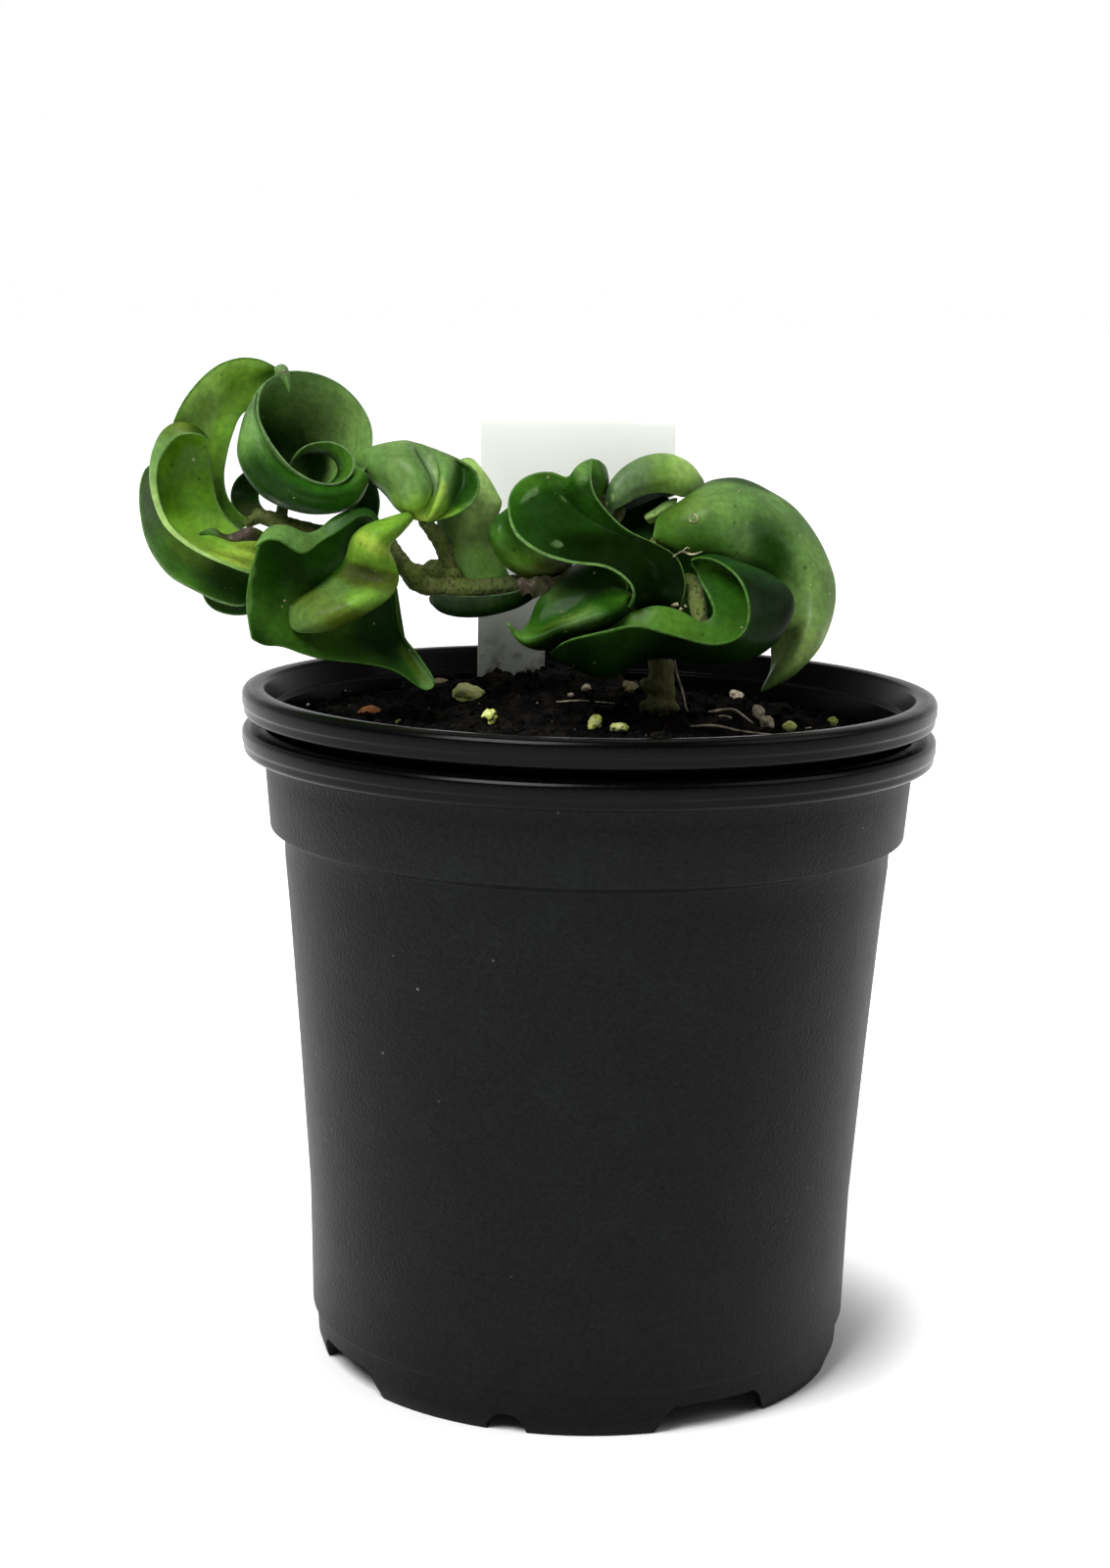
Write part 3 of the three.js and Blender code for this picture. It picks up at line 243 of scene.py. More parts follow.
             (-36, 207.6, -10), (-36.9, 205.3, -11.5), (-37.8, 203, -12), (-38.8, 201.1, -11)],
            [(-32.2, 216.7, 3), (-32.7, 214.6, 1.5), (-32.9, 212.1, 0.5), (-33.3, 209.5, -1),
             (-34.2, 207, -3), (-35.3, 204.7, -6), (-36.9, 202.5, -8.5), (-38.3, 200.9, -10.5)],
            [(-30.6, 216.5, 3.5), (-29.9, 214.2, 2), (-29.6, 211.4, 1), (-30.1, 208.9, 0),
             (-31.4, 206.3, -2), (-33.5, 204, -5), (-36, 202.1, -8), (-38.1, 200.7, -10.5)],
            [(-29.2, 215.6, 1), (-27.6, 213.3, -1.5), (-26.8, 210.8, -3.5), (-27, 208.3, -5),
             (-28.6, 205.7, -6.5), (-31.4, 203.6, -8), (-34.6, 201.9, -9.5), (-37.6, 200.5, -11)],
        ],
    },
    "pale_leaf": {
        "thickness": 2.2,
        "rails": [
            [(-34.1, 216, 10), (-35.6, 210, 8), (-36.9, 203.9, 7), (-36.9, 199.5, 6), (-35.4, 194.5, 5),
             (-33.3, 189.9, 4), (-31.2, 186.2, 3)],
            [(-29.9, 216.7, 10), (-29.6, 208.9, 6), (-30.4, 202.9, 3), (-30.8, 198, 1.5),
             (-30.1, 194.1, 0), (-28.2, 189.7, -0.5), (-25.8, 185.8, -0.5)],
            [(-26.7, 215.6, 11), (-22.4, 207.9, 8), (-21.5, 205.6, 7), (-23, 200.5, 6), (-22, 195, 5),
             (-19.8, 189.9, 4), (-18.4, 186.4, 3)],
        ],
    },
    "keel_leaf": {
        "thickness": 2.0,
        "rails": [
            [(-39.4, 185.3, -2.8), (-36, 184.3, -3.2), (-31, 184.0, -3.2), (-25, 184.1, -3.2),
             (-19, 185.0, -3), (-13, 186.7, -2.4)],
            [(-38.8, 182.6, -1.4), (-35.8, 180.7, -1.6), (-31, 179.8, -1.6), (-25, 180.2, -1.6),
             (-18.8, 182, -1.4), (-13, 184.6, -1)],
            [(-38.4, 182.6, 3), (-35.3, 181, 3.6), (-30.5, 180.2, 4), (-25, 180.5, 4), (-19, 182, 3.6),
             (-13, 184.4, 2.6)],
            [(-38.6, 185.0, 7), (-35.5, 184.0, 8), (-30.5, 183.6, 9), (-25, 183.8, 9), (-19, 184.8, 8),
             (-13, 186.8, 6)],
        ],
    },
    "wrap_leaf": {
        "thickness": 2.2,
        "rails": [
            [(-17.3, 207.1, 0), (-21.2, 204.2, -1), (-24.2, 201.2, -2.5), (-24.3, 197.9, -3.5),
             (-22.9, 193.8, -3), (-19.4, 189.9, -2), (-13.5, 187.9, -1.5), (-7.5, 188.5, 0)],
            [(-16.1, 206.2, 3), (-19.1, 203.3, -1), (-20.9, 200.1, -5), (-20.6, 196.4, -6),
             (-18.2, 192.9, -5), (-14.3, 190.7, -4), (-9.6, 190.1, -2), (-5.7, 190.6, 1)],
            [(-12.9, 204.6, 6), (-13.5, 201.8, 5), (-14.2, 199.3, 4), (-13.2, 197.2, 3), (-11.3, 195.4, 3),
             (-8.5, 194, 3), (-5.3, 193.6, 4), (-2, 193.9, 5)],
        ],
    },
    "wave_upper": {
        "thickness": 2.2,
        "rails": [
            [(-20.3, 206.6, -7), (-20, 201.9, -11), (-18.1, 197.8, -15), (-12.5, 194, -18), (-5, 192, -19),
             (1.5, 191.4, -19.5), (5.7, 189.9, -20), (8.8, 187.4, -20.5), (9.6, 184.4, -19.5),
             (8, 181.8, -17)],
            [(-18.8, 210.5, -4.5), (-15.4, 206, -5), (-11.9, 201.4, -6.5), (-7, 197.6, -8.5),
             (-1.1, 195.6, -10.5), (4.5, 194.1, -12), (9, 191.6, -13), (12.1, 187.9, -13),
             (13.6, 184, -11.5), (14.1, 180.3, -9)],
            [(-14.4, 213.3, -3), (-11.3, 209.3, -2), (-8, 204.7, -2.5), (-3.5, 200.9, -4),
             (1.6, 198.2, -5.5), (7.2, 196.2, -7), (11.9, 193, -8), (14.6, 188.9, -9), (16.1, 184.5, -8.5),
             (16.7, 180.3, -7)],
            [(-9.3, 213.7, -3), (-7.7, 210, -1.5), (-4.6, 205.5, -1.5), (-0.6, 201.8, -2.5),
             (4.6, 199.2, -4.5), (10, 196.5, -6), (14.7, 193.6, -7), (17.6, 189, -8), (18.7, 184.3, -8),
             (18.8, 180.3, -7)],
            [(-6.1, 212.1, -3.5), (-5.3, 209.4, -3), (-2.7, 206, -3), (1, 202.8, -3.4), (6.2, 199.7, -5),
             (11.8, 197, -6.2), (16.8, 194.1, -7.2), (19.7, 188.8, -8.2), (20.3, 184.1, -8.2),
             (19.7, 180.4, -8)],
            [(-4.1, 215.4, -2), (-3.5, 211.7, -5), (-1.4, 207.6, -5.5), (2.2, 204, -5), (7.4, 199.7, -6),
             (13.2, 197.2, -6.8), (18.9, 193.9, -8), (21.1, 188.6, -8.6), (21.2, 183.9, -8.6),
             (20.2, 180.4, -8)],
            [(-0.2, 217.1, 1), (-0.6, 213.4, -5), (0, 209.2, -7), (3.1, 204.7, -6.5), (8.3, 200.2, -6.5),
             (14.6, 197.3, -7), (20.3, 193.9, -8.5), (22.3, 188.1, -9), (21.9, 183.9, -9),
             (20.6, 180.4, -8)],
        ],
    },
    "crest_back": {
        "thickness": 1.9,
        "rails": [
            [(-1.3, 217, 3), (-1.3, 214.3, 2), (-0.7, 211.1, 1), (0, 206.5, 3), (1.7, 202.6, 3)],
            [(1, 216.6, 4), (1.5, 213.9, 3.5), (1.6, 211.1, 3), (1.6, 206.5, 5), (2.4, 202.8, 4.5)],
            [(2.6, 215.3, 9), (3.4, 212.5, 9.5), (3.4, 210, 9), (2.2, 206.5, 8), (3.1, 203.3, 6)],
        ],
    },
    "wave_lower": {
        "thickness": 2.2,
        "rails": [
            [(-19.9, 178, -15), (-17.5, 175.4, -13), (-14.5, 178.3, -8), (-11.4, 184.7, -3),
             (-7.5, 189, 0), (-2.4, 192.5, -2), (4, 193.4, -8), (9, 190.2, -13)],
            [(-19.9, 177.7, -16), (-17.2, 175, -15), (-14.2, 176, -12.5), (-11.8, 181.2, -10),
             (-8.5, 183.6, -9), (-3.9, 186.5, -9), (2, 188.7, -10), (8.6, 187.2, -13)],
            [(-19.6, 177.3, -17), (-16.8, 174.3, -17), (-13.3, 174.8, -15.5), (-8.9, 177, -14),
             (-5.4, 179, -13), (-1.1, 181.4, -13), (4, 184.3, -12.5), (8.9, 185.3, -14)],
            [(-19.6, 177.3, -18), (-16.3, 173.6, -19.5), (-12.3, 173.9, -20.5), (-7.5, 176.1, -20),
             (-3.1, 177.6, -20), (2.5, 179.6, -20), (6.8, 182, -18), (9.4, 183.9, -15.5)],
            [(-19.6, 176.8, -17), (-15.6, 172.4, -16), (-11.1, 171.3, -12), (-5.3, 171.9, -9),
             (0.3, 173.7, -8), (5.3, 176.8, -10), (8.7, 180.4, -12), (9.4, 183.7, -13)],
        ],
    },
    "boat_leaf": {
        "thickness": 2.4,
        "rails": [
            [(-11, 172.6, -17), (-4.5, 174.4, -22.5), (3, 176.2, -25.5), (11, 177.8, -27),
             (20, 175.6, -28), (29, 173.6, -28), (35.3, 175.6, -26), (37.2, 180.5, -23), (35.8, 187, -18),
             (31.9, 191.8, -14), (27.7, 193.8, -10), (24.9, 194, -8), (23.3, 193.3, -7)],
            [(-9, 169.8, -15), (-3, 167.8, -16), (4, 164.8, -17), (11, 169.3, -19), (18, 171, -20),
             (27, 169.8, -20), (36.5, 170.6, -19), (44, 175.2, -15), (47.6, 183, -10), (44, 188.2, -6),
             (30.3, 193.2, -3), (25.9, 193.3, -3), (23.5, 192.8, -5)],
            [(-8, 172.6, -10), (-3, 174, -12), (2.5, 177.4, -14), (9, 180.6, -15), (15.5, 182.5, -15),
             (21.6, 181.3, -15), (26, 178.6, -16), (28.8, 180.8, -15), (27.5, 184.5, -11),
             (25.8, 187.5, -8), (24.8, 190, -5), (24.1, 191.4, -5), (23.6, 192.3, -5)],
        ],
    },
    "claw_leaf": {
        "thickness": 2.4,
        "rails": [
            [(13.5, 199.8, -2), (15.5, 203.8, 2), (21.5, 208, 6), (27, 212, 10), (34, 212.9, 12),
             (41, 210.2, 13), (48.5, 205.3, 12), (54, 198, 10), (57.7, 189, 7), (57.7, 181.5, 3),
             (54.5, 173, -1), (49, 166.5, -4), (42, 162.6, -6)],
            [(14.5, 198.6, -3), (18.5, 201.8, -5), (24.5, 204.8, -6), (30.5, 207, -5), (37, 206, -3),
             (43, 202.5, -1), (48, 197.5, 1), (51.5, 191, 1), (53, 184.5, -1), (52.5, 178, -4),
             (50, 171.5, -6), (46, 166.8, -7), (41.6, 162.3, -7)],
            [(15, 197.6, -2), (20, 197.8, -5), (26, 199, -7), (32, 199.5, -6), (37.5, 197.5, -2),
             (41.5, 194.5, 2), (44.5, 190.5, 4), (46.8, 186, 4), (47.5, 181, 2), (47.2, 175.5, -1),
             (45.8, 170.5, -4), (43.8, 166.6, -6), (41, 162, -7.5)],
            [(16, 196.6, 0), (22, 194.4, -2), (27, 194.2, -2.5), (32, 192.6, -1), (36, 190.8, 2),
             (39, 188.6, 5), (41.5, 185.5, 6), (43, 181.5, 5), (43.2, 177.5, 3), (43, 172.5, 0),
             (43.2, 168.5, -3), (42.2, 165, -5), (40.3, 161.6, -7)],
        ],
    },
    "shaded_back": {
        "thickness": 2.2,
        "rails": [
            [(8, 175, 11), (6.5, 181, 11), (8, 188, 10), (12, 194, 9), (17, 197.6, 9)],
            [(16, 173, 14), (15.5, 181, 15.5), (17, 188.5, 15), (20, 194, 13.5), (22.5, 196.6, 12.5)],
            [(25, 174.5, 13), (26, 181.5, 15), (26.5, 188, 15), (27, 192.6, 14), (27.5, 195, 13)],
            [(31, 178.5, 10), (33.5, 182.5, 11), (33.5, 186.5, 11), (32, 189.6, 11), (31, 191.6, 11)],
        ],
    },
    "arch_leaf": {
        "thickness": 2.2,
        "rails": [
            [(3.2, 204, 4), (6, 205.3, 4), (9, 207, 5), (12.5, 208.6, 6), (16, 209.2, 7), (19.5, 208.6, 9),
             (22.5, 206.5, 10)],
            [(2.8, 206.2, 3), (5.5, 208.4, 3), (8.8, 211, 4), (12.8, 212.8, 5), (17, 213, 6),
             (21, 211.8, 8), (24.5, 208.8, 10)],
            [(2.7, 208.5, 5), (4.8, 211.6, 5.5), (8.4, 215.2, 7), (12.8, 217.3, 8.5), (17.6, 217.6, 10),
             (22.2, 215.6, 12), (26, 211.5, 13)],
            [(3.8, 206.5, 10), (6, 209, 12), (9.2, 211.5, 14), (13, 213.3, 16), (17.3, 214, 18),
             (21.5, 212.6, 19), (25, 209.5, 19)],
            [(5, 202.4, 12), (8, 203, 15), (11, 204, 17), (14, 205.6, 19), (17, 207.6, 20.5),
             (20, 208.6, 21.5), (24, 207, 21)],
        ],
    },
    "snail_bowl": {
        "thickness": 1.9,
        "rails": [
            [(-55.5, 213.9, -6), (-57.6, 210.7, -8), (-62, 209.2, -9), (-67, 210, -9.5),
             (-72.4, 213.2, -9), (-76.8, 218.6, -7), (-79.5, 225.4, -3), (-79.1, 230.9, 0)],
            [(-54.4, 213, -8), (-57.1, 209.3, -10), (-61.9, 208, -11.5), (-67.7, 208.9, -12),
             (-73.5, 212.2, -11.5), (-78.1, 217.9, -9.5), (-80.3, 224.9, -5), (-79.9, 230.6, -1.5)],
            [(-53.4, 212.1, -7), (-56.6, 207.7, -9), (-61.9, 206.5, -10.4), (-68.4, 207.3, -11),
             (-74.9, 210.8, -10.5), (-79.5, 216.9, -8.4), (-81.1, 224.2, -4), (-80.3, 229.7, 0)],
            [(-53.2, 211, -5.6), (-56.6, 206.1, -7.6), (-62.4, 204.6, -9.4), (-69.8, 205.2, -10),
             (-77, 208.7, -9.2), (-82.1, 215.3, -7), (-82.3, 222.6, -1.4), (-80.9, 228.6, 3)],
            [(-53.6, 209.8, 0), (-57.3, 204.9, -1), (-63.3, 203.2, -2), (-70.7, 203.8, -2),
             (-78.4, 207.5, -1), (-83.1, 214.8, 0), (-82.6, 221.7, 3), (-80.9, 227.9, 7)],
            [(-55, 211.2, 8), (-58.7, 206.7, 8), (-63.8, 205, 8), (-70.3, 205.6, 8), (-77, 208.9, 8),
             (-81.4, 215.3, 9), (-81.6, 221, 10), (-80.4, 226.8, 12)],
        ],
    },
    "hook_tip": {
        "thickness": 0.9,
        "rails": [
            [(-75.6, 236.4, 4), (-74, 237.6, 2.5), (-72.4, 237.1, 2), (-71.5, 234.7, 1.5),
             (-71.5, 231.5, 1)],
            [(-75.2, 235.5, 3), (-73.8, 236.2, -0.5), (-72.9, 235.5, -1), (-72.4, 233.5, -0.5),
             (-71.7, 231, 0.5)],
            [(-75.4, 234.4, 4), (-74.5, 234.6, 2.5), (-73.8, 234.2, 2), (-73.1, 232.8, 1.5),
             (-71.9, 230.8, 1.5)],
        ],
    },
    "dry_margin": {
        "thickness": 0.8,
        "rails": [
            [(-93.4, 197.3, -6), (-91.3, 198.7, -9), (-89, 198.8, -9), (-86.9, 197.2, -7),
             (-83.9, 198.4, -8), (-80.9, 199.6, -9), (-77.7, 198.1, -7)],
            [(-93.2, 197.1, -6), (-90.9, 197.6, -8), (-88.1, 196.9, -9), (-85.6, 195.8, -8),
             (-82.8, 196.8, -9.5), (-80.2, 197.6, -9), (-77.4, 196.9, -6)],
            [(-92.7, 196.9, -6), (-90.7, 197.1, -6.5), (-87.9, 196.3, -7), (-85.1, 195.4, -7),
             (-82.3, 195.9, -7.5), (-79.8, 195.9, -7), (-77.4, 195.8, -5)],
        ],
    },
    # A sheet under the arch leaf, painted dark all over to stand for the shade in its hollow
    "hollow_leaf": {
        "thickness": 1.8,
        "rails": [
            [(2.8, 207.2, 15), (7.9, 208.7, 17), (12.9, 209.3, 19), (18, 208, 20)],
            [(3.9, 201.5, 13), (9.2, 202.5, 14), (14.5, 203.5, 16), (19.6, 202.9, 17)],
            [(6.3, 195.3, 8), (11.4, 195.8, 8), (16.5, 196.8, 9), (20.6, 197.8, 10)],
        ],
    },
    "shard_leaf": {
        "thickness": 1.1,
        "rails": [
            [(11.9, 203.7, 9), (14.4, 205.4, 9), (16.9, 207.3, 9.5), (19.9, 208.2, 11)],
            [(12.2, 202.8, 7.5), (14.9, 204, 7), (17.6, 205.7, 7.5), (19.7, 206.6, 9.5)],
            [(13.1, 201.6, 9), (15.2, 202.4, 9), (17.2, 203.3, 9.5), (19.1, 205, 10.5)],
        ],
    },
    "bract_low": {
        "thickness": 0.5,
        "rails": [
            [(-18.2, 187.8, -6), (-16.5, 188.8, -7), (-14.9, 187.9, -6), (-13.1, 189.1, -7.5),
             (-11.2, 187.7, -6.5)],
            [(-17.2, 186, -8), (-15.6, 186.7, -7), (-13.9, 185.8, -8.5), (-12.3, 187, -7),
             (-10.4, 185.9, -8)],
            [(-16.5, 183.4, -6), (-15.1, 185.1, -8), (-13.2, 183.5, -6.5), (-11.8, 184.7, -8),
             (-9.9, 183.3, -6)],
        ],
    },
    "bract_high": {
        "thickness": 0.5,
        "rails": [
            [(-12.8, 188.4, -4), (-11, 189.4, -6), (-9.3, 188.4, -4.5), (-7.7, 189.4, -5.5),
             (-6.1, 188.7, -4)],
            [(-12.3, 186.5, -6), (-10.5, 187.3, -4.5), (-8.8, 186.4, -6.5), (-7.2, 187.3, -5),
             (-5.6, 186.7, -5)],
            [(-11.4, 184.2, -4.5), (-10, 185.2, -6.5), (-8.3, 184, -5), (-7, 185.5, -6),
             (-5.3, 184.8, -4)],
        ],
    },
}

# Trunk, vine and leaf stalks, as the radii from end to end and the points of each run
STEMS = [
    ((3.6, 3.5, 3, 2.6, 2.4), [(17, 132, 4), (17.2, 158, 4), (16.6, 170, 4), (13.5, 178, 6),
     (8, 183.5, 7)]),
    ((2.5, 2.7, 2.6, 2.5, 2.5, 2.4, 2.3, 2.1, 1.8), [(8.5, 183, 7), (0, 186.6, 5.5), (-12, 187, 2),
     (-25, 185.9, 0), (-39, 186.2, 0), (-45, 191, 0), (-51, 197, 2), (-66, 198.4, 4), (-79, 202, 6.5)]),
    ((1.5, 1.4), [(-74, 200.6, 5), (-73, 205.5, 11), (-73.6, 208.3, 15.5)]),
    ((1.5, 1.3), [(-70, 199, 5), (-76, 194, 4), (-79.6, 191.5, 1.6)]),
    ((1.5, 1.3), [(-67, 198, 5), (-73, 190, 7), (-77.5, 185, 6.5), (-77.6, 181.8, 7.6)]),
    ((1.5, 1.4), [(-79, 202, 6.5), (-82, 199.6, 7.6)]),
    ((1.4, 1.3), [(-78.5, 202, 6.5), (-79.6, 202.4, 12.6)]),
    ((1.5, 1.4), [(-55, 198, 3), (-53, 197.8, 9.6)]),
    ((1.8, 1.6), [(-49.5, 195.6, 1), (-51.5, 194.4, -3.6)]),
    ((1.7, 1.4), [(-45.5, 191.6, 0), (-48.4, 192.6, -7), (-49.6, 193, -16.4)]),
    ((2.5, 2.3, 2.0, 1.6), [(-35.3, 187, 1), (-34.2, 192.4, 2), (-36.4, 197, -1), (-39.9, 201.6, -8)]),
    ((2.2, 2), [(-30, 186.6, 1), (-29, 190.6, 3.6)]),
    ((1.9, 1.6), [(0.9, 186.5, 5.4), (1.7, 194.9, 4), (0.1, 202.1, 3), (-1.1, 206, 0)]),
    ((1.7, 1.5), [(1.4, 193, 3.6), (1.8, 202, 4.4), (1.6, 208.4, 5.4)]),
    ((1.7, 1.5), [(1.7, 197, 4), (4.6, 201.6, 8), (6.6, 205, 12.4)]),
    ((1.9, 1.6), [(11, 181, 7), (14.5, 190, 4), (15.2, 198, -1.4)]),
    ((1.9, 1.7), [(14, 177.5, 5), (16.4, 181, -1), (17, 183.4, -6.4)]),
    ((1.8, 1.6), [(15.5, 174, 4.5), (17, 175.4, 14.4)]),
    ((2.0, 2.2, 2.2, 1.9, 1.6), [(19.6, 182.5, 5), (22.5, 188.1, 3), (24.4, 185.8, -5), (25.8, 180.2, -12),
     (26.6, 176, -14.5)]),
]

# How strongly a leaf mirrors the lights, where its colours give no other value
LEAF_SHINE = 0.09
